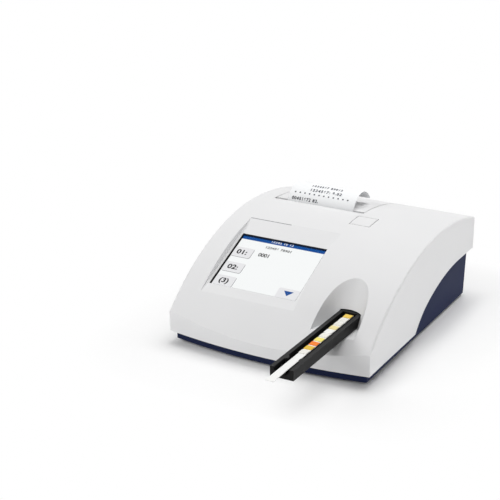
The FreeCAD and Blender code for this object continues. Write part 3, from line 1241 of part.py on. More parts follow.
def paper_roll():
    body = rod_x(PAPER_LEFT_X, PAPER_RIGHT_X, at(ROLL_BACK), ROLL_Z, ROLL_RADIUS)
    return body.cut(rod_x(PAPER_LEFT_X - 1, PAPER_RIGHT_X + 1, at(ROLL_BACK), ROLL_Z, CORE_RADIUS))


def paper_core():
    body = rod_x(PAPER_LEFT_X, PAPER_RIGHT_X, at(ROLL_BACK), ROLL_Z, CORE_RADIUS)
    return body.cut(rod_x(PAPER_LEFT_X - 1, PAPER_RIGHT_X + 1, at(ROLL_BACK), ROLL_Z, CORE_RADIUS - CORE_WALL))


def paper_web():
    """Straight web from the roll's lower front up towards the nip."""
    top = (PAPER_FRONT_BACK + PAPER_THICKNESS / 2.0, PLATEN_Z - 5.0)
    run = ROLL_BACK - top[0]
    drop = ROLL_Z - top[1]
    distance = math.hypot(run, drop)
    radius = ROLL_RADIUS + 0.5
    direction = math.atan2(drop, run) - math.asin(radius / distance)
    length = math.sqrt(distance ** 2 - radius ** 2)
    normal = (-math.sin(direction) * PAPER_THICKNESS / 2.0, math.cos(direction) * PAPER_THICKNESS / 2.0)
    end = (top[0] + length * math.cos(direction), top[1] + length * math.sin(direction))
    outline = [(top[0] - normal[0], top[1] - normal[1]), (end[0] - normal[0], end[1] - normal[1]),
               (end[0] + normal[0], end[1] + normal[1]), (top[0] + normal[0], top[1] + normal[1])]
    return side_prism(outline, PAPER_LEFT_X, PAPER_RIGHT_X)


def printed_paper():
    """Printed tail: up through the slot, then curled over the lid."""
    start = (PAPER_FRONT_BACK, PLATEN_Z - 2.0)
    bend_z = PLATEN_Z + 4.0
    bend_radius = 12.0
    turn = math.pi / 2.0 - CURL_LEAN

    def arc_points(centre, radius, angles):
        return [Vector(PAPER_LEFT_X, at(centre[0] + radius * math.cos(angle)), centre[1] + radius * math.sin(angle))
                for angle in angles]

    bend_centre = (PAPER_FRONT_BACK + bend_radius, bend_z)
    bend_end = (bend_centre[0] - bend_radius * math.cos(turn), bend_z + bend_radius * math.sin(turn))
    curl_centre = (bend_end[0] + CURL_RADIUS * math.cos(turn), bend_end[1] - CURL_RADIUS * math.sin(turn))
    bend_angles = (math.pi, math.pi - turn / 2.0, math.pi - turn)
    curl_angles = (math.pi - turn, (math.pi - turn + math.pi / 2.0 - CURL_END) / 2.0, math.pi / 2.0 - CURL_END)
    faces = []
    outer_bend = arc_points(bend_centre, bend_radius, bend_angles)
    inner_bend = arc_points(bend_centre, bend_radius - PAPER_THICKNESS, bend_angles)
    outer_curl = arc_points(curl_centre, CURL_RADIUS, curl_angles)
    inner_curl = arc_points(curl_centre, CURL_RADIUS - PAPER_THICKNESS, curl_angles)
    low_outer = Vector(PAPER_LEFT_X, at(start[0]), start[1])
    low_inner = Vector(PAPER_LEFT_X, at(start[0] + PAPER_THICKNESS), start[1])
    edges = [
        line_edge(low_outer, outer_bend[0]),
        arc_edge(*outer_bend),
        arc_edge(*outer_curl),
        line_edge(outer_curl[2], inner_curl[2]),
        arc_edge(*reversed(inner_curl)),
        arc_edge(*reversed(inner_bend)),
        line_edge(inner_bend[0], low_inner),
        line_edge(low_inner, low_outer),
    ]
    return Part.Face(Part.Wire(edges)).extrude(Vector(PAPER_WIDTH, 0, 0))


# ---- lid release -----------------------------------------------------------------------------------------------
PIVOT_Z = arch_z(LEVER_PIVOT_BACK) - LEVER_PIVOT_DROP
BRACKET_FLOOR_Z = PIVOT_Z - 5.5
BRACKET_LEFT_X = BUTTON_X - BUTTON_SIZE / 2.0 - 1.6
BRACKET_RIGHT_X = BUTTON_X + BUTTON_SIZE / 2.0 + 1.6
STEM_RADIUS = 2.0
SHELF_Z = PIVOT_Z + 2.3


def release_button():
    """Square cap that follows the arch, with a retaining flange and a stem."""
    roof_z = arch_z(BUTTON_BACK - BUTTON_SIZE / 2.0, WALL)
    flange_top = roof_z - 0.3
    cap = button_block(BUTTON_SIZE, flange_top - 1.0, HOUSING_HEIGHT + 1).common(arch_form(0.0))
    flange = button_block(BUTTON_SIZE + 2.4, flange_top - 1.2, flange_top)
    stem = rod_z(PIVOT_Z + 2.2, flange_top - 0.6, BUTTON_X, at(BUTTON_BACK), STEM_RADIUS)
    return joined(cap, flange, stem)


def latch_bracket():
    roof = arch_form(WALL)
    front = at(BUTTON_BACK - BUTTON_SIZE / 2.0 - 3.0)
    rear = at(LEVER_PIVOT_BACK + 3.5)
    floor = block(BRACKET_LEFT_X - 1.6, BRACKET_RIGHT_X + 1.6, front, rear, BRACKET_FLOOR_Z - 1.6, BRACKET_FLOOR_Z)
    cheeks = [block(x0, x0 + 1.6, front, rear, BRACKET_FLOOR_Z, HOUSING_HEIGHT).common(roof)
              for x0 in (BRACKET_LEFT_X - 1.6, BRACKET_RIGHT_X)]
    post = rod_z(BRACKET_FLOOR_Z, PIVOT_Z - 2.6 - BUTTON_TRAVEL, BUTTON_X, at(BUTTON_BACK), 1.5)
    shelf = block(BRACKET_LEFT_X, BRACKET_RIGHT_X, front, at(BUTTON_BACK) + 6.0, SHELF_Z, SHELF_Z + 0.8)
    shelf = shelf.cut(rod_z(SHELF_Z - 1, SHELF_Z + 2, BUTTON_X, at(BUTTON_BACK), STEM_RADIUS + 0.3))
    bracket = joined(floor, post, shelf, *cheeks)
    return bracket.cut(rod_x(BRACKET_LEFT_X - 3, BRACKET_RIGHT_X + 3, at(LEVER_PIVOT_BACK), PIVOT_Z, 1.0))


def latch_pin():
    return rod_x(BRACKET_LEFT_X - 1.6, BRACKET_RIGHT_X + 1.6, at(LEVER_PIVOT_BACK), PIVOT_Z, 1.0)


def latch_lever():
    """Rocker under the button whose hook stands at the lid's tab."""
    arm_left = BUTTON_X - 3.0
    arm_right = BUTTON_X + 3.0
    y = at(LEVER_PIVOT_BACK)
    arm = block(arm_left, arm_right, at(BUTTON_BACK) - 2.0, y, PIVOT_Z - 0.8, PIVOT_Z + 0.6)
    pad = rod_x(arm_left, arm_right, at(BUTTON_BACK), PIVOT_Z + 1.0, 1.0)
    hub = rod_x(BRACKET_LEFT_X + 0.4, arm_right, y, PIVOT_Z, 2.0)
    hook_right = BRACKET_LEFT_X + 1.6
    hook_rear = at(PLATEN_BACK) - LID_GAP
    hook_arm = block(BRACKET_LEFT_X + 0.4, hook_right, y, hook_rear, PIVOT_Z - 1.0, PIVOT_Z + 1.2)
    hook = block(BRACKET_LEFT_X + 0.4, hook_right, hook_rear - 1.6, hook_rear, PIVOT_Z - 1.0, PIVOT_Z + 3.5)
    return joined(arm, pad, hub, hook_arm, hook).cut(rod_x(BRACKET_LEFT_X, BRACKET_RIGHT_X, y, PIVOT_Z, 1.0 + RUNNING_GAP))


def button_spring():
    """Return spring round the stem, from the bracket's shelf to the flange."""
    top = arch_z(BUTTON_BACK - BUTTON_SIZE / 2.0, WALL) - 1.5
    tube = rod_z(SHELF_Z + 0.8, top, BUTTON_X, at(BUTTON_BACK), 3.2)
    return tube.cut(rod_z(SHELF_Z, top + 1.0, BUTTON_X, at(BUTTON_BACK), 2.6))


PARTS = {
    "upper_shell": upper_shell,
    "base_tray": base_tray,
    "feet": feet,
    "housing_screws": housing_screws,
    "battery_door": battery_door,
    "aa_cells": aa_cells,
    "battery_contacts": battery_contacts,
    "touch_glass": touch_glass,
    "display_gasket": display_gasket,
    "lcd_module": lcd_module,
    "display_bracket": display_bracket,
    "display_screws": display_screws,
    "main_board": main_board,
    "board_components": board_components,
    "board_screws": board_screws,
    "power_jack": power_jack,
    "keyboard_port": keyboard_port,
    "serial_connector": serial_connector,
    "jackscrews": jackscrews,
    "strip_tray": strip_tray,
    "tray_rack": tray_rack,
    "reference_tile": reference_tile,
    "test_strip": test_strip,
    "reagent_pads": reagent_pads,
    "tray_guide": tray_guide,
    "guide_screws": guide_screws,
    "tray_pinion": tray_pinion,
    "reduction_wheel": reduction_wheel,
    "pinion_shaft": pinion_shaft,
    "motor_pinion": motor_pinion,
    "tray_motor": tray_motor,
    "optics_head": optics_head,
    "optics_lens": optics_lens,
    "led_board": led_board,
    "photodiode": photodiode,
    "printer_lid": printer_lid,
    "lid_hinge_rod": lid_hinge_rod,
    "platen_roller": platen_roller,
    "platen_gear": platen_gear,
    "idler_gear": idler_gear,
    "idler_pin": idler_pin,
    "printer_pinion": printer_pinion,
    "printer_motor": printer_motor,
    "printer_chassis": printer_chassis,
    "chassis_screws": chassis_screws,
    "print_head": print_head,
    "head_springs": head_springs,
    "tear_bar": tear_bar,
    "paper_roll": paper_roll,
    "paper_core": paper_core,
    "paper_web": paper_web,
    "printed_paper": printed_paper,
    "release_button": release_button,
    "button_spring": button_spring,
    "latch_bracket": latch_bracket,
    "latch_lever": latch_lever,
    "latch_pin": latch_pin,
}

os.makedirs("parts", exist_ok=True)
for name, make in PARTS.items():
    shape = make()
    print(name, "solids", len(shape.Solids), "volume", round(shape.Volume, 1), "valid", shape.isValid())
    shape.exportStep("parts/" + name + ".step")
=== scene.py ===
import math

import bpy
from mathutils import Matrix, Vector


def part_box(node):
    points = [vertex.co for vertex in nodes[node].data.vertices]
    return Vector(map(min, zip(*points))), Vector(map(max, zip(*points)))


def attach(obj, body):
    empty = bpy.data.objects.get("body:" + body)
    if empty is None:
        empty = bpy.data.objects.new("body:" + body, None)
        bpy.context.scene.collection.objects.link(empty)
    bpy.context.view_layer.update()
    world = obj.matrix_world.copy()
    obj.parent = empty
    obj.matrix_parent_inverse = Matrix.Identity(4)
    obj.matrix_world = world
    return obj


# A bench-top urine analyzer: white arched cover on a navy lower housing, touch screen, strip tray
# and printer.  Metres, +Z up, +Y towards the rear wall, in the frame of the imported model.
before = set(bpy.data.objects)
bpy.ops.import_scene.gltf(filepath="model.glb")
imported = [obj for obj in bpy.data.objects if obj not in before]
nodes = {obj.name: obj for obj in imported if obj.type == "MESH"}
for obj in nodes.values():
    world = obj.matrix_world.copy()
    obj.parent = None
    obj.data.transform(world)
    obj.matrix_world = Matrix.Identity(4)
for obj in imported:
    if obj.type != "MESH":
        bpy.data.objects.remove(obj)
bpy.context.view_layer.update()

# ---- camera --------------------------------------------------------------------------------------
# A long lens looks down on the front right corner from a little under a metre.  The instrument
# stands right of the frame's middle, which a shift gives without turning the lens.
VIEW_TURN = math.radians(26.41)
VIEW_DROP = math.radians(22.11)
VIEW_ROLL = math.radians(0.95)
VIEW_DISTANCE = 0.9374
VIEW_TARGET = Vector((0.0, 0.0425, 0.030))
LENS_MILLIMETRES = 88.85
SHIFT_ACROSS = -0.1566
SHIFT_UP = 0.0588
turn = Matrix.Rotation(VIEW_TURN, 4, "Z") @ Matrix.Rotation(math.pi / 2 - VIEW_DROP, 4, "X")
turn = turn @ Matrix.Rotation(VIEW_ROLL, 4, "Z")
lens_place = VIEW_TARGET + turn.to_3x3() @ Vector((0, 0, VIEW_DISTANCE))
bpy.ops.object.camera_add(location=lens_place, rotation=turn.to_euler())
camera = bpy.context.object
camera.data.lens = LENS_MILLIMETRES
camera.data.shift_x = SHIFT_ACROSS
camera.data.shift_y = SHIFT_UP
camera.data.clip_end = 30
bpy.context.scene.camera = camera

# ---- table ---------------------------------------------------------------------------------------
# A wide sheet of matt white card under the feet.  Near the instrument it shows as it is lit, with
# the shadow.  Further out it turns plain white to the lens, and it adds no light to the object.
TABLE_SIZE = 16
TABLE_DROP = 0.00005
CARD_WHITE = 0.93
FADE_MIDDLE = (0.009, 0.0425, 0)
FADE_HALF_SIZE = (0.080, 0.096, 0)
FADE_WIDTH = 0.07
FADE_STOPS = ((0.16, 0.36), (0.6, 0.62))


def direct_view(tree):
    """1 for a ray from the camera, also by way of a gloss or glass, and 0 for light on a piece."""
    path = tree.nodes.new("ShaderNodeLightPath")
    result = path.outputs["Is Camera Ray"]
    for ray in ("Is Glossy Ray", "Is Transmission Ray"):
        either = tree.nodes.new("ShaderNodeMath")
        either.operation = "MAXIMUM"
        tree.links.new(result, either.inputs[0])
        tree.links.new(path.outputs[ray], either.inputs[1])
        result = either.outputs[0]
    return result


def distance_outside(tree, middle, half_size):
    """How far a point of the surface is from a box about that middle, and 0 inside the box."""
    result = tree.nodes.new("ShaderNodeTexCoord").outputs["Object"]
    for operation, amount in (
        ("SUBTRACT", middle),
        ("ABSOLUTE", (0, 0, 0)),
        ("SUBTRACT", half_size),
        ("MAXIMUM", (0, 0, 0)),
    ):
        step = tree.nodes.new("ShaderNodeVectorMath")
        step.operation = operation
        step.inputs[1].default_value = amount
        tree.links.new(result, step.inputs[0])
        result = step.outputs["Vector"]
    length = tree.nodes.new("ShaderNodeVectorMath")
    length.operation = "LENGTH"
    tree.links.new(result, length.inputs[0])
    return length.outputs["Value"]


bpy.ops.mesh.primitive_plane_add(size=TABLE_SIZE, location=(0, 0, -TABLE_DROP))
table = bpy.context.object
table.name = "table_top"
card = bpy.data.materials.new("white_table")
card.use_nodes = True
tree = card.node_tree
shader = tree.nodes["Principled BSDF"]
shader.inputs["Base Color"].default_value = (CARD_WHITE, CARD_WHITE, CARD_WHITE, 1)
shader.inputs["Roughness"].default_value = 0.6
fade_reach = tree.nodes.new("ShaderNodeMapRange")
fade_reach.inputs["From Max"].default_value = FADE_WIDTH
fade = tree.nodes.new("ShaderNodeValToRGB")
for share, white in FADE_STOPS:
    stop = fade.color_ramp.elements.new(share)
    stop.color = (white, white, white, 1)
seen_share = tree.nodes.new("ShaderNodeMath")
seen_share.operation = "MULTIPLY"
plain_white = tree.nodes.new("ShaderNodeEmission")
plain_white.inputs["Strength"].default_value = 1.0
mixed = tree.nodes.new("ShaderNodeMixShader")
for source, target in (
    (distance_outside(tree, FADE_MIDDLE, FADE_HALF_SIZE), fade_reach.inputs["Value"]),
    (fade_reach.outputs["Result"], fade.inputs["Fac"]),
    (direct_view(tree), seen_share.inputs[0]),
    (fade.outputs["Color"], seen_share.inputs[1]),
    (seen_share.outputs[0], mixed.inputs["Fac"]),
    (shader.outputs[0], mixed.inputs[1]),
    (plain_white.outputs[0], mixed.inputs[2]),
    (mixed.outputs[0], tree.nodes["Material Output"].inputs["Surface"]),
):
    tree.links.new(source, target)
table.data.materials.append(card)

# ---- studio light --------------------------------------------------------------------------------
# Softboxes light the white cover evenly, and a narrow strip light at table height separates the
# navy side.  The white studio shows to the lens at full strength and lights the object very little.
STUDIO_LIGHT = 0.10
LAMP_AIM = Vector((0, 0.03, 0.03))
sky = bpy.data.worlds.new("studio")
bpy.context.scene.world = sky
sky.use_nodes = True
tree = sky.node_tree
background = tree.nodes["Background"]
background.inputs["Color"].default_value = (1, 1, 1, 1)
level = tree.nodes.new("ShaderNodeMapRange")
level.inputs["To Min"].default_value = STUDIO_LIGHT
level.inputs["To Max"].default_value = 1.0
tree.links.new(direct_view(tree), level.inputs["Value"])
tree.links.new(level.outputs["Result"], background.inputs["Strength"])
for name, place, size, watts in (
    ("softbox_over", (0.10, 0.45, 1.20), 0.9, 11.4),
    ("softbox_left", (-0.80, -0.80, 0.80), 0.7, 6.9),
    ("softbox_front", (0.05, -1.10, 0.50), 0.6, 2.0),
    ("softbox_right", (0.80, 0.50, 0.75), 0.5, 1.5),
    ("strip_light_right", (0.60, 0.02, 0.07), 0.12, 0.58),
):
    bpy.ops.object.light_add(type="AREA", location=place)
    lamp = bpy.context.object
    lamp.name = name
    lamp.rotation_euler = (LAMP_AIM - Vector(place)).to_track_quat("-Z", "Y").to_euler()
    lamp.data.size = size
    lamp.data.energy = watts
bpy.context.scene.view_settings.view_transform = "Standard"

# ---- lower housing and battery door --------------------------------------------------------------
# Both are injection mouldings in dark navy ABS.  The tool was spark-eroded, which leaves a fine
# even grain, and the gloss drifts a little over the surface.
DRIFT_SCALE = 22.0
GLOSS_DRIFT = 0.05


def moulded_plastic(name, colour, roughness, grain=0.0005, depth=0.00001, mottle=0.02, gleam=0.5):
    """Plastic with moulding grain of that size and depth, and a faint drift of colour and gloss."""
    plastic = bpy.data.materials.new(name)
    plastic.use_nodes = True
    tree = plastic.node_tree
    shader = tree.nodes["Principled BSDF"]
    shader.inputs["Specular IOR Level"].default_value = gleam
    where = tree.nodes.new("ShaderNodeTexCoord")
    drift = tree.nodes.new("ShaderNodeTexNoise")
    drift.inputs["Scale"].default_value = DRIFT_SCALE
    drift.inputs["Detail"].default_value = 3.0
    tint = tree.nodes.new("ShaderNodeMix")
    tint.name = "tint"
    tint.data_type = "RGBA"
    tint.inputs["A"].default_value = tuple(c * (1 - mottle) for c in colour) + (1,)
    tint.inputs["B"].default_value = tuple(min(1, c * (1 + mottle)) for c in colour) + (1,)
    gloss = tree.nodes.new("ShaderNodeMapRange")
    gloss.inputs["To Min"].default_value = roughness - GLOSS_DRIFT
    gloss.inputs["To Max"].default_value = roughness + GLOSS_DRIFT
    texture = tree.nodes.new("ShaderNodeTexNoise")
    texture.inputs["Scale"].default_value = 1 / grain
    texture.inputs["Detail"].default_value = 2.0
    relief = tree.nodes.new("ShaderNodeBump")
    relief.inputs["Strength"].default_value = 0.5
    relief.inputs["Distance"].default_value = depth
    for source, target in (
        (where.outputs["Object"], drift.inputs["Vector"]),
        (where.outputs["Object"], texture.inputs["Vector"]),
        (drift.outputs["Fac"], tint.inputs["Factor"]),
        (drift.outputs["Fac"], gloss.inputs["Value"]),
        (texture.outputs["Fac"], relief.inputs["Height"]),
        (tint.outputs["Result"], shader.inputs["Base Color"]),
        (gloss.outputs["Result"], shader.inputs["Roughness"]),
        (relief.outputs["Normal"], shader.inputs["Normal"]),
    ):
        tree.links.new(source, target)
    return plastic


def finish_nodes(material, *names):
    """Gives carried-over nodes their material."""
    for name in names:
        nodes[name].material_slots[0].material = material


navy = moulded_plastic(
    "navy_abs",
    (0.012, 0.018, 0.056),
    roughness=0.55,
    grain=0.0006,
    depth=0.00002,
    mottle=0.1,
    gleam=0.08,
)
finish_nodes(navy, "base_tray", "battery_door")

# ---- feet ----------------------------------------------------------------------------------------
# Four pads of dark grey rubber with an adhesive back, pressed into round pockets under the lower
# housing.
grey_rubber = moulded_plastic(
    "grey_rubber", (0.045, 0.045, 0.047), roughness=0.8, grain=0.0003, mottle=0.15
)
finish_nodes(grey_rubber, "feet")

# ---- cells and their contacts --------------------------------------------------------------------
# Six AA cells: steel cans in a dark printed film that stops short of both ends.  The contacts are
# sprung strips of nickel-plated steel, pressed into the ends of the bay.
BARE_END = 0.0022


def worked_metal(name, colour, roughness=0.3, streak=0.0004):
    """Plated or drawn metal with fine marks and slightly uneven gloss."""
    metal = moulded_plastic(name, colour, roughness, grain=streak, depth=0.000006, mottle=0.12)
    metal.node_tree.nodes["Principled BSDF"].inputs["Metallic"].default_value = 1.0
    return metal


def two_finishes(name, inside, outside, axis, first, last):
    """The inside finish between two planes across an axis, and the other's colour beyond them."""
    both = inside.copy()
    both.name = name
    tree = both.node_tree
    shader = tree.nodes["Principled BSDF"]
    outer = outside.node_tree.nodes
    where = tree.nodes.new("ShaderNodeTexCoord")
    split = tree.nodes.new("ShaderNodeSeparateXYZ")
    band = tree.nodes.new("ShaderNodeMath")
    band.operation = "COMPARE"
    band.inputs[1].default_value = (first + last) / 2
    band.inputs[2].default_value = (last - first) / 2
    colour = tree.nodes.new("ShaderNodeMix")
    colour.data_type = "RGBA"
    colour.inputs["A"].default_value = outer["tint"].inputs["A"].default_value
    metal = tree.nodes.new("ShaderNodeMapRange")
    metal.inputs["To Min"].default_value = outer["Principled BSDF"].inputs["Metallic"].default_value
    metal.inputs["To Max"].default_value = shader.inputs["Metallic"].default_value
    for source, target in (
        (where.outputs["Object"], split.inputs["Vector"]),
        (split.outputs[axis], band.inputs[0]),
        (band.outputs[0], colour.inputs["Factor"]),
        (tree.nodes["tint"].outputs["Result"], colour.inputs["B"]),
        (colour.outputs["Result"], shader.inputs["Base Color"]),
        (band.outputs[0], metal.inputs["Value"]),
        (metal.outputs["Result"], shader.inputs["Metallic"]),
    ):
        tree.links.new(source, target)
    return both


nickel = worked_metal("nickel_plate", (0.66, 0.64, 0.60), roughness=0.28)
film = moulded_plastic("shrink_film", (0.03, 0.032, 0.04), roughness=0.25, mottle=0.05)
cells_low, cells_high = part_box("aa_cells")
wrapped_cell = two_finishes(
    "wrapped_cell", film, nickel, "Y", cells_low[1] + BARE_END, cells_high[1] - BARE_END
)
finish_nodes(wrapped_cell, "aa_cells")
finish_nodes(nickel, "battery_contacts")

# ---- boards, sockets and screws ------------------------------------------------------------------
# Boards in green solder mask carry black packages and three sockets that reach the rear panel.
# The pressed steel shell of the data socket and all the screws are zinc-plated.
solder_mask = moulded_plastic(
    "solder_mask", (0.010, 0.115, 0.050), roughness=0.3, grain=0.0012, mottle=0.25
)
finish_nodes(solder_mask, "main_board", "led_board")
black = moulded_plastic(
    "black_moulding", (0.016, 0.016, 0.017), roughness=0.45, mottle=0.1, gleam=0.4
)
finish_nodes(black, "board_components", "power_jack", "keyboard_port", "photodiode", "print_head")
zinc = worked_metal("zinc_plate", (0.62, 0.63, 0.64))
finish_nodes(zinc, "serial_connector", "jackscrews", "housing_screws", "guide_screws")
finish_nodes(zinc, "chassis_screws", "board_screws", "display_screws")

# ---- tray drive, printer frame and latch ---------------------------------------------------------
# Glass-filled frames carry small motors in drawn steel cans, and shafts, pins and springs of
# bright steel.  The display's bracket is pressed from the cans' steel.  The gears and the rack are
# natural acetal.
frame_grey = moulded_plastic("frame_grey", (0.11, 0.11, 0.115), roughness=0.5, mottle=0.1)
finish_nodes(frame_grey, "tray_guide", "printer_chassis", "latch_bracket", "latch_lever")
drawn_steel = worked_metal("drawn_steel", (0.42, 0.42, 0.43), roughness=0.38)
finish_nodes(drawn_steel, "tray_motor", "printer_motor", "display_bracket")
ground_steel = worked_metal("ground_steel", (0.56, 0.57, 0.58), roughness=0.22, streak=0.0002)
finish_nodes(ground_steel, "pinion_shaft", "lid_hinge_rod", "idler_pin", "latch_pin")
finish_nodes(ground_steel, "head_springs", "button_spring", "tear_bar")
acetal = moulded_plastic("natural_acetal", (0.76, 0.76, 0.71), roughness=0.35, mottle=0.03)
finish_nodes(acetal, "tray_rack", "tray_pinion", "reduction_wheel", "motor_pinion")
finish_nodes(acetal, "platen_gear", "idler_gear", "printer_pinion")

# ---- strip tray and reading head -----------------------------------------------------------------
# Both are black acetal.  The tray slides under the head and is wiped clean, and a glazed white
# tile at its rear calibrates the head.
satin_black = moulded_plastic(
    "satin_black", (0.0065, 0.0065, 0.0068), roughness=0.42, grain=0.0004, mottle=0.1, gleam=0.12
)
finish_nodes(satin_black, "strip_tray", "optics_head")
finish_nodes(moulded_plastic("glazed_tile", (0.86, 0.86, 0.85), roughness=0.15), "reference_tile")

# ---- test strip ----------------------------------------------------------------------------------
# A white film of polystyrene with ten pads of filter paper glued along it, each soaked in its own
# reagent and dried.  The tints run from the rear pad to the one at the free end.
PAD_TINTS = (
    (240, 205, 100), (237, 236, 230), (237, 235, 227), (242, 228, 168), (250, 249, 245),
    (244, 242, 233), (255, 240, 130), (255, 140, 62), (238, 199, 84), (246, 244, 238),
)
PAD_LENGTH = 0.0053
FIBRE_SHADE = 0.93


def paint_chip(*channels):
    """Linear colour of an 8-bit sRGB colour."""
    shares = [channel / 255 for channel in channels]
    return tuple(s / 12.92 if s <= 0.04045 else ((s + 0.055) / 1.055) ** 2.4 for s in shares)


strip_film = moulded_plastic("strip_film", paint_chip(247, 247, 245), roughness=0.3, depth=0.000002)
finish_nodes(strip_film, "test_strip")
pads_low, pads_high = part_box("reagent_pads")
pad_pitch = (pads_high[1] - pads_low[1] - PAD_LENGTH) / (len(PAD_TINTS) - 1)
half_gap = (pad_pitch - PAD_LENGTH) / 2
reagent_paper = moulded_plastic(
    "reagent_paper",
    (0.8, 0.8, 0.8),
    roughness=0.92,
    grain=0.0002,
    depth=0.00003,
    mottle=0.03,
    gleam=0.2,
)
tree = reagent_paper.node_tree
mottling = tree.nodes["tint"]
mottling.inputs["A"].default_value = (FIBRE_SHADE, FIBRE_SHADE, FIBRE_SHADE, 1)
mottling.inputs["B"].default_value = (1, 1, 1, 1)
where = tree.nodes.new("ShaderNodeTexCoord")
split = tree.nodes.new("ShaderNodeSeparateXYZ")
along = tree.nodes.new("ShaderNodeMapRange")
along.inputs["From Min"].default_value = pads_high[1] + half_gap
along.inputs["From Max"].default_value = pads_low[1] - half_gap
tints = tree.nodes.new("ShaderNodeValToRGB")
stops = tints.color_ramp.elements
tints.color_ramp.interpolation = "CONSTANT"
for index, tint in enumerate(PAD_TINTS):
    stop = stops[0] if index == 0 else stops.new(index / len(PAD_TINTS))
    stop.color = paint_chip(*tint) + (1,)
stops.remove(stops[-1])
fibres = tree.nodes.new("ShaderNodeMix")
fibres.data_type = "RGBA"
fibres.blend_type = "MULTIPLY"
fibres.inputs["Factor"].default_value = 1.0
for source, target in (
    (where.outputs["Object"], split.inputs["Vector"]),
    (split.outputs["Y"], along.inputs["Value"]),
    (along.outputs["Result"], tints.inputs["Fac"]),
    (tints.outputs["Color"], fibres.inputs["A"]),
    (mottling.outputs["Result"], fibres.inputs["B"]),
    (fibres.outputs["Result"], tree.nodes["Principled BSDF"].inputs["Base Color"]),
):
    tree.links.new(source, target)
finish_nodes(reagent_paper, "reagent_pads")

# ---- platen and paper core -----------------------------------------------------------------------
# The platen is nitrile rubber moulded on a steel shaft, a little wider than the paper.  The paper
# is wound on a core of brown card.
RUBBER_PAST_PAPER = 0.0006
nitrile = moulded_plastic(
    "platen_rubber", (0.022, 0.022, 0.023), roughness=0.7, grain=0.0003, gleam=0.3
)
paper_low, paper_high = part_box("printed_paper")
rubber_left = paper_low[0] - RUBBER_PAST_PAPER
rubber_right = paper_high[0] + RUBBER_PAST_PAPER
platen = two_finishes("platen", nitrile, ground_steel, "X", rubber_left, rubber_right)
finish_nodes(platen, "platen_roller")
core_card = moulded_plastic("core_card", (0.5, 0.38, 0.25), roughness=0.8, mottle=0.12)
finish_nodes(core_card, "paper_core")

# ---- paper ---------------------------------------------------------------------------------------
# Thermal paper 57 mm wide: white, slightly calendered on the coated side.  It comes up behind the
# tear bar and curls back over the lid.
thermal_paper = moulded_plastic(
    "thermal_paper",
    paint_chip(250, 251, 252),
    roughness=0.6,
    grain=0.0003,
    depth=0.000004,
    mottle=0.01,
    gleam=0.05,
)
finish_nodes(thermal_paper, "paper_roll", "paper_web", "printed_paper")

# ---- print on the paper --------------------------------------------------------------------------
# Three lines of figures and a row of dots, burnt blue-black into the coating by the printer's head.
# Each is drawn flat and then bent onto the curl.
CURL_RADIUS = 0.017
CURL_END = math.radians(28.0)
CURL_Y = paper_high[1] - CURL_RADIUS * math.cos(CURL_END)
CURL_Z = paper_high[2] - CURL_RADIUS
FIGURE_HALF_THICKNESS = 0.00002
PRINT_LIFT = 0.00005
DOT_COUNT = 12
DOT_PITCH = 0.00417
DOT_RADIUS = 0.00066
DOT_HEIGHT = 0.00004
DOT_TAPER = 0.94
thermal_ink = moulded_plastic(
    "thermal_ink", paint_chip(38, 42, 62), roughness=0.9, mottle=0.2, gleam=0.0
)
heavy_ink = moulded_plastic(
    "heavy_ink", paint_chip(18, 22, 44), roughness=0.9, mottle=0.2, gleam=0.0
)


def drawn_figures(name, text, size, ink, weight, spacing):
    """Figures as a flat mesh about their own middle, cut finely enough to bend."""
    bpy.ops.object.select_all(action="DESELECT")
    bpy.ops.object.text_add()
    line = bpy.context.object
    line.name = name
    line.data.body = text
    line.data.size = size
    line.data.offset = weight
    line.data.space_character = spacing
    line.data.extrude = FIGURE_HALF_THICKNESS
    line.data.align_x = "CENTER"
    line.data.align_y = "CENTER"
    bpy.ops.object.convert(target="MESH")
    line = bpy.context.object
    line.data.materials.clear()
    line.data.materials.append(ink)
    bpy.ops.object.mode_set(mode="EDIT")
    bpy.ops.mesh.select_all(action="SELECT")
    bpy.ops.mesh.remove_doubles(threshold=0.000001)
    bpy.ops.mesh.normals_make_consistent(inside=False)
    bpy.ops.mesh.subdivide(number_cuts=2)
    bpy.ops.object.mode_set(mode="OBJECT")
    return line


def lay_on_curl(piece, middle, degrees, width):
    """Bends a flat piece onto the curl, so far above the rear horizon, and fixes it there."""
    span = piece.dimensions.x
    for vertex in piece.data.vertices:
        angle = math.radians(degrees) - vertex.co.y / CURL_RADIUS
        reach = CURL_RADIUS + PRINT_LIFT + vertex.co.z
        vertex.co = (
            middle + vertex.co.x * width / span,
            CURL_Y + reach * math.cos(angle),
            CURL_Z + reach * math.sin(angle),
        )
    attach(piece, "lid")


for name, text, size, ink, weight, spacing, middle, degrees, width in (
    ("print_figures_1", "1234567 89012", 0.0035, thermal_ink, 0.00012, 1.35, -0.0258, 101.0, 0.0262),
    ("print_figures_2", "1234567: 8.02", 0.0036, thermal_ink, 0.0001, 1.3, -0.0247, 119.0, 0.0268),
    ("print_figures_3", "00451672 82.", 0.0034, heavy_ink, 0.0001, 1.2, -0.0396, 150.0, 0.0230),
):
    lay_on_curl(drawn_figures(name, text, size, ink, weight, spacing), middle, degrees, width)

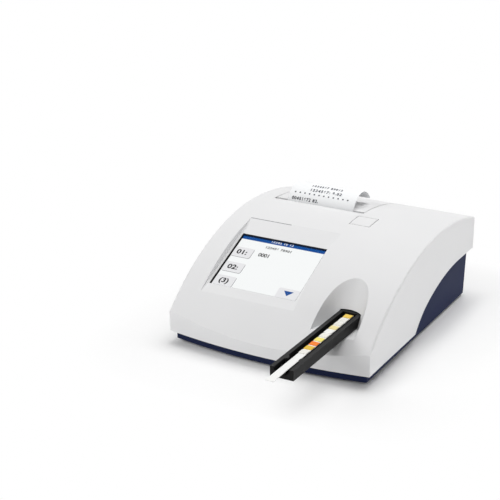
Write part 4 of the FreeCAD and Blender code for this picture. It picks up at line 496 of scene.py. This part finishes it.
bpy.ops.object.select_all(action="DESELECT")
bpy.ops.mesh.primitive_circle_add(vertices=8, radius=DOT_RADIUS, fill_type="NGON")
dot_row = bpy.context.object
dot_row.name = "print_dots"
bpy.ops.object.mode_set(mode="EDIT")
bpy.ops.mesh.extrude_region_move(TRANSFORM_OT_translate={"value": (0, 0, DOT_HEIGHT)})
bpy.ops.transform.resize(value=(DOT_TAPER, DOT_TAPER, 1))
bpy.ops.mesh.select_all(action="SELECT")
bpy.ops.transform.translate(value=(-(DOT_COUNT - 1) / 2 * DOT_PITCH, 0, 0))
bpy.ops.mesh.normals_make_consistent(inside=False)
bpy.ops.object.mode_set(mode="OBJECT")
bpy.ops.object.modifier_add(type="ARRAY")
row = dot_row.modifiers[-1]
row.count = DOT_COUNT
row.use_relative_offset = False
row.use_constant_offset = True
row.constant_offset_displace = (DOT_PITCH, 0, 0)
bpy.ops.object.modifier_apply(modifier=row.name)
dot_row.data.materials.append(heavy_ink)
lay_on_curl(dot_row, middle=-0.0269, degrees=132.3, width=0.0469)

# ---- upper housing -------------------------------------------------------------------------------
# The arched cover, the printer lid and the release button are injection mouldings in warm white
# ABS.  Four screws from below hold the cover.
warm_white = moulded_plastic("warm_white_abs", (0.80, 0.80, 0.805), roughness=0.45, gleam=0.12)
finish_nodes(warm_white, "upper_shell", "printer_lid", "release_button")

# ---- touch glass, gasket and display -------------------------------------------------------------
# A 3.5 inch colour display in a black frame lies behind a resistive touch glass on a foam gasket.
# The reading head's lens is as clear as the glass.
clear = bpy.data.materials.new("touch_glass")
clear.use_nodes = True
shader = clear.node_tree.nodes["Principled BSDF"]
shader.inputs["Base Color"].default_value = (0.02, 0.02, 0.02, 1)
shader.inputs["Roughness"].default_value = 0.08
shader.inputs["Alpha"].default_value = 0.05
finish_nodes(clear, "touch_glass", "optics_lens")
foam = moulded_plastic("foam", (0.012, 0.012, 0.012), roughness=0.9, grain=0.0008, gleam=0.2)
finish_nodes(foam, "display_gasket")
finish_nodes(moulded_plastic("lcd_frame", (0.012, 0.012, 0.013), roughness=0.4), "lcd_module")

# ---- picture on the display ----------------------------------------------------------------------
# The display's picture, lit from behind: a blue title bar, grey keys and black figures on white.
# Its fields lie a few hundredths of a millimetre apart, in the order in which they cover one
# another.
SCREEN_TILT = math.radians(24.5114)
GLASS_BELOW_FACE = 0.00175
PICTURE_BELOW_FACE = 0.00278
LAYER = 0.00004
LAYER_PITCH = 1.5 * LAYER
FIGURE_Z = 6 * LAYER - PICTURE_BELOW_FACE
PIXEL_STRENGTH = 1.08
PICTURE_SIDE = 0.0371
PICTURE_TOP = 0.0288
PICTURE_BOTTOM = -0.0278
TITLE_BOTTOM = 0.0242
POINTER_X = 0.0253
POINTER_Y = -0.0190
POINTER_RADIUS = 0.0042
POINTER_STRETCH = (1.08, 0.75, 1)
POINTER_CORNER = 0.0003
glass_low, glass_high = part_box("touch_glass")
outwards = Vector((0, -math.sin(SCREEN_TILT), math.cos(SCREEN_TILT)))
window_middle = (Vector(glass_low) + Vector(glass_high)) / 2 + outwards * GLASS_BELOW_FACE
on_screen = Matrix.Translation(window_middle) @ Matrix.Rotation(SCREEN_TILT, 4, "X")


def backlit(name, colour):
    """A field of pixels: dark when it is off, and as bright as the colour says when it is on."""
    lit = bpy.data.materials.new(name)
    lit.use_nodes = True
    tree = lit.node_tree
    shader = tree.nodes["Principled BSDF"]
    shader.inputs["Base Color"].default_value = (0.01, 0.01, 0.01, 1)
    shader.inputs["Roughness"].default_value = 0.35
    shader.inputs["Specular IOR Level"].default_value = 0.08
    shader.inputs["Emission Strength"].default_value = PIXEL_STRENGTH
    where = tree.nodes.new("ShaderNodeTexCoord")
    cells = tree.nodes.new("ShaderNodeTexNoise")
    cells.inputs["Scale"].default_value = 30
    shade = tree.nodes.new("ShaderNodeMix")
    shade.data_type = "RGBA"
    shade.inputs["A"].default_value = tuple(c * 0.985 for c in colour) + (1,)
    shade.inputs["B"].default_value = colour + (1,)
    tree.links.new(where.outputs["Object"], cells.inputs["Vector"])
    tree.links.new(cells.outputs["Fac"], shade.inputs["Factor"])
    tree.links.new(shade.outputs["Result"], shader.inputs["Emission Color"])
    return lit


def set_on_screen(piece):
    """Lays a piece drawn flat on the tilted face, and fixes it to the cover."""
    piece.data.transform(on_screen)
    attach(piece, "housing")


def picture_plate(name, left, right, bottom, top, corner, layer, colour):
    """A flat field of the picture, its corners rounded, so many layers above the display's face."""
    bpy.ops.object.select_all(action="DESELECT")
    bpy.ops.mesh.primitive_plane_add(size=1)
    plate = bpy.context.object
    plate.name = name
    bpy.ops.object.mode_set(mode="EDIT")
    bpy.ops.transform.resize(value=(right - left, top - bottom, 1))
    bpy.ops.transform.translate(value=((left + right) / 2, (top + bottom) / 2, 0))
    if corner:
        bpy.ops.mesh.bevel(offset=corner, segments=5, affect="VERTICES")
    bpy.ops.mesh.extrude_region_move(TRANSFORM_OT_translate={"value": (0, 0, LAYER)})
    bpy.ops.mesh.select_all(action="SELECT")
    bpy.ops.mesh.normals_make_consistent(inside=False)
    bpy.ops.transform.translate(value=(0, 0, layer * LAYER_PITCH - PICTURE_BELOW_FACE))
    bpy.ops.object.mode_set(mode="OBJECT")
    plate.data.materials.append(colour)
    set_on_screen(plate)


pixel_white = backlit("pixel_white", paint_chip(247, 249, 249))
pixel_blue = backlit("pixel_blue", paint_chip(12, 76, 150))
pixel_key = backlit("pixel_key", paint_chip(232, 232, 234))
pixel_key_light = backlit("pixel_key_light", paint_chip(246, 246, 247))
pixel_key_dark = backlit("pixel_key_dark", paint_chip(128, 128, 132))
pixel_ink = backlit("pixel_ink", paint_chip(14, 14, 18))

for name, bottom, layer, colour in (
    ("picture_field", PICTURE_BOTTOM, 0, pixel_white),
    ("picture_title_bar", TITLE_BOTTOM, 1, pixel_blue),
):
    picture_plate(name, -PICTURE_SIDE, PICTURE_SIDE, bottom, PICTURE_TOP, 0, layer, colour)

# A raised key has a dark foot that shows below and to the right, a light rim and a grey face.
# A row says how far its left, right, bottom and top edges are shifted from the key's own, and
# then its corner's size, its layer and its colour.
KEY_LAYERS = (
    ("_foot", 0.0003, 0.0004, -0.0004, -0.0002, 0.0016, 1, pixel_key_dark),
    ("_rim", 0, 0, 0, 0, 0.0015, 2, pixel_key_light),
    ("_face", 0.0003, -0.0002, 0.0002, -0.0003, 0.0013, 3, pixel_key),
)
for key, left, right, bottom, top in (
    ("picture_key_1", -0.0361, -0.0200, 0.0055, 0.0157),
    ("picture_key_2", -0.0356, -0.0195, -0.0104, -0.0003),
    ("picture_key_3", -0.0354, -0.0193, -0.0252, -0.0147),
    ("picture_key_next", 0.0165, 0.0340, -0.0256, -0.0151),
):
    for part, left_shift, right_shift, bottom_shift, top_shift, corner, layer, colour in KEY_LAYERS:
        picture_plate(
            key + part,
            left + left_shift,
            right + right_shift,
            bottom + bottom_shift,
            top + top_shift,
            corner,
            layer,
            colour,
        )

for name, text, size, x, y, stretch, ink, weight, spacing in (
    ("picture_title", "12345 10 12", 0.0030, -0.0020, 0.0264, 1.0, pixel_white, 0.00004, 1.25),
    ("picture_row", "123456 78901", 0.0031, -0.0020, 0.0197, 1.0, pixel_ink, 0.0001, 1.25),
    ("picture_number", "0001", 0.0050, -0.0100, 0.0112, 0.95, pixel_ink, 0.00012, 1.0),
    ("picture_mark_1", "01:", 0.0062, -0.0284, 0.0104, 1.15, pixel_ink, 0.00018, 1.0),
    ("picture_mark_2", "02:", 0.0062, -0.0278, -0.0056, 1.15, pixel_ink, 0.00018, 1.0),
    ("picture_mark_3", "(3)", 0.0062, -0.0276, -0.0200, 1.15, pixel_ink, 0.00018, 1.0),
):
    figures = drawn_figures(name, text, size, ink, weight, spacing)
    place = Matrix.Translation((x, y, FIGURE_Z))
    figures.data.transform(place @ Matrix.Diagonal((stretch, 1, 1, 1)))
    set_on_screen(figures)

bpy.ops.object.select_all(action="DESELECT")
bpy.ops.mesh.primitive_circle_add(vertices=3, radius=POINTER_RADIUS, fill_type="NGON")
pointer = bpy.context.object
pointer.name = "picture_pointer"
bpy.ops.object.mode_set(mode="EDIT")
bpy.ops.transform.rotate(value=math.pi, orient_axis="Z", center_override=(0, 0, 0))
bpy.ops.transform.resize(value=POINTER_STRETCH)
bpy.ops.mesh.bevel(offset=POINTER_CORNER, segments=2, affect="VERTICES")
bpy.ops.mesh.extrude_region_move(TRANSFORM_OT_translate={"value": (0, 0, LAYER)})
bpy.ops.mesh.select_all(action="SELECT")
bpy.ops.mesh.normals_make_consistent(inside=False)
bpy.ops.transform.translate(value=(POINTER_X, POINTER_Y, FIGURE_Z))
bpy.ops.object.mode_set(mode="OBJECT")
pointer.data.materials.append(pixel_blue)
set_on_screen(pointer)

# ---- window lip ----------------------------------------------------------------------------------
# A thin lip of black rubber lines the edge of the cover's window and keeps liquid off the glass.
# It is pushed in from above and ends a little below the face.
WINDOW_WIDTH = 0.0710
WINDOW_LENGTH = 0.0545
LIP_CLEARANCE = 0.00004
LIP_WALL = 0.00030
LIP_TOP = -0.00030
LIP_BOTTOM = -0.00118
bpy.ops.object.select_all(action="DESELECT")
bpy.ops.mesh.primitive_plane_add(size=1)
lip = bpy.context.object
lip.name = "window_lip"
bpy.ops.object.mode_set(mode="EDIT")
bpy.ops.transform.resize(value=(WINDOW_WIDTH - LIP_CLEARANCE, WINDOW_LENGTH - LIP_CLEARANCE, 1))
bpy.ops.mesh.inset(thickness=LIP_WALL)
bpy.ops.mesh.delete(type="ONLY_FACE")
bpy.ops.mesh.select_all(action="SELECT")
bpy.ops.mesh.extrude_region_move(TRANSFORM_OT_translate={"value": (0, 0, LIP_TOP - LIP_BOTTOM)})
bpy.ops.mesh.select_all(action="SELECT")
bpy.ops.mesh.normals_make_consistent(inside=False)
bpy.ops.transform.translate(value=(0, 0, LIP_BOTTOM))
bpy.ops.object.mode_set(mode="OBJECT")
lip.data.materials.append(foam)
lip.data.transform(on_screen)
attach(lip, "housing")

# ---- printed rule --------------------------------------------------------------------------------
# A thin grey line along the upper edge of the screen's face, from its left corner.  It is
# pad-printed on the cover and stands a few hundredths of a millimetre proud.
RULE_LENGTH = 0.0352
RULE_WIDTH = 0.00055
RULE_CORNER = 0.0002
RULE_X = -0.0202
RULE_Y = 0.0445
RULE_SUNK = LAYER / 4
bpy.ops.object.select_all(action="DESELECT")
bpy.ops.mesh.primitive_plane_add(size=1)
rule = bpy.context.object
rule.name = "printed_rule"
bpy.ops.object.mode_set(mode="EDIT")
bpy.ops.transform.resize(value=(RULE_LENGTH, RULE_WIDTH, 1))
bpy.ops.mesh.bevel(offset=RULE_CORNER, segments=3, affect="VERTICES")
bpy.ops.mesh.extrude_region_move(TRANSFORM_OT_translate={"value": (0, 0, LAYER)})
bpy.ops.mesh.select_all(action="SELECT")
bpy.ops.mesh.normals_make_consistent(inside=False)
bpy.ops.transform.translate(value=(RULE_X, RULE_Y, -RULE_SUNK))
bpy.ops.object.mode_set(mode="OBJECT")
rule.data.materials.append(moulded_plastic("grey_print", paint_chip(128, 128, 132), roughness=0.5))
rule.data.transform(on_screen)
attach(rule, "housing")
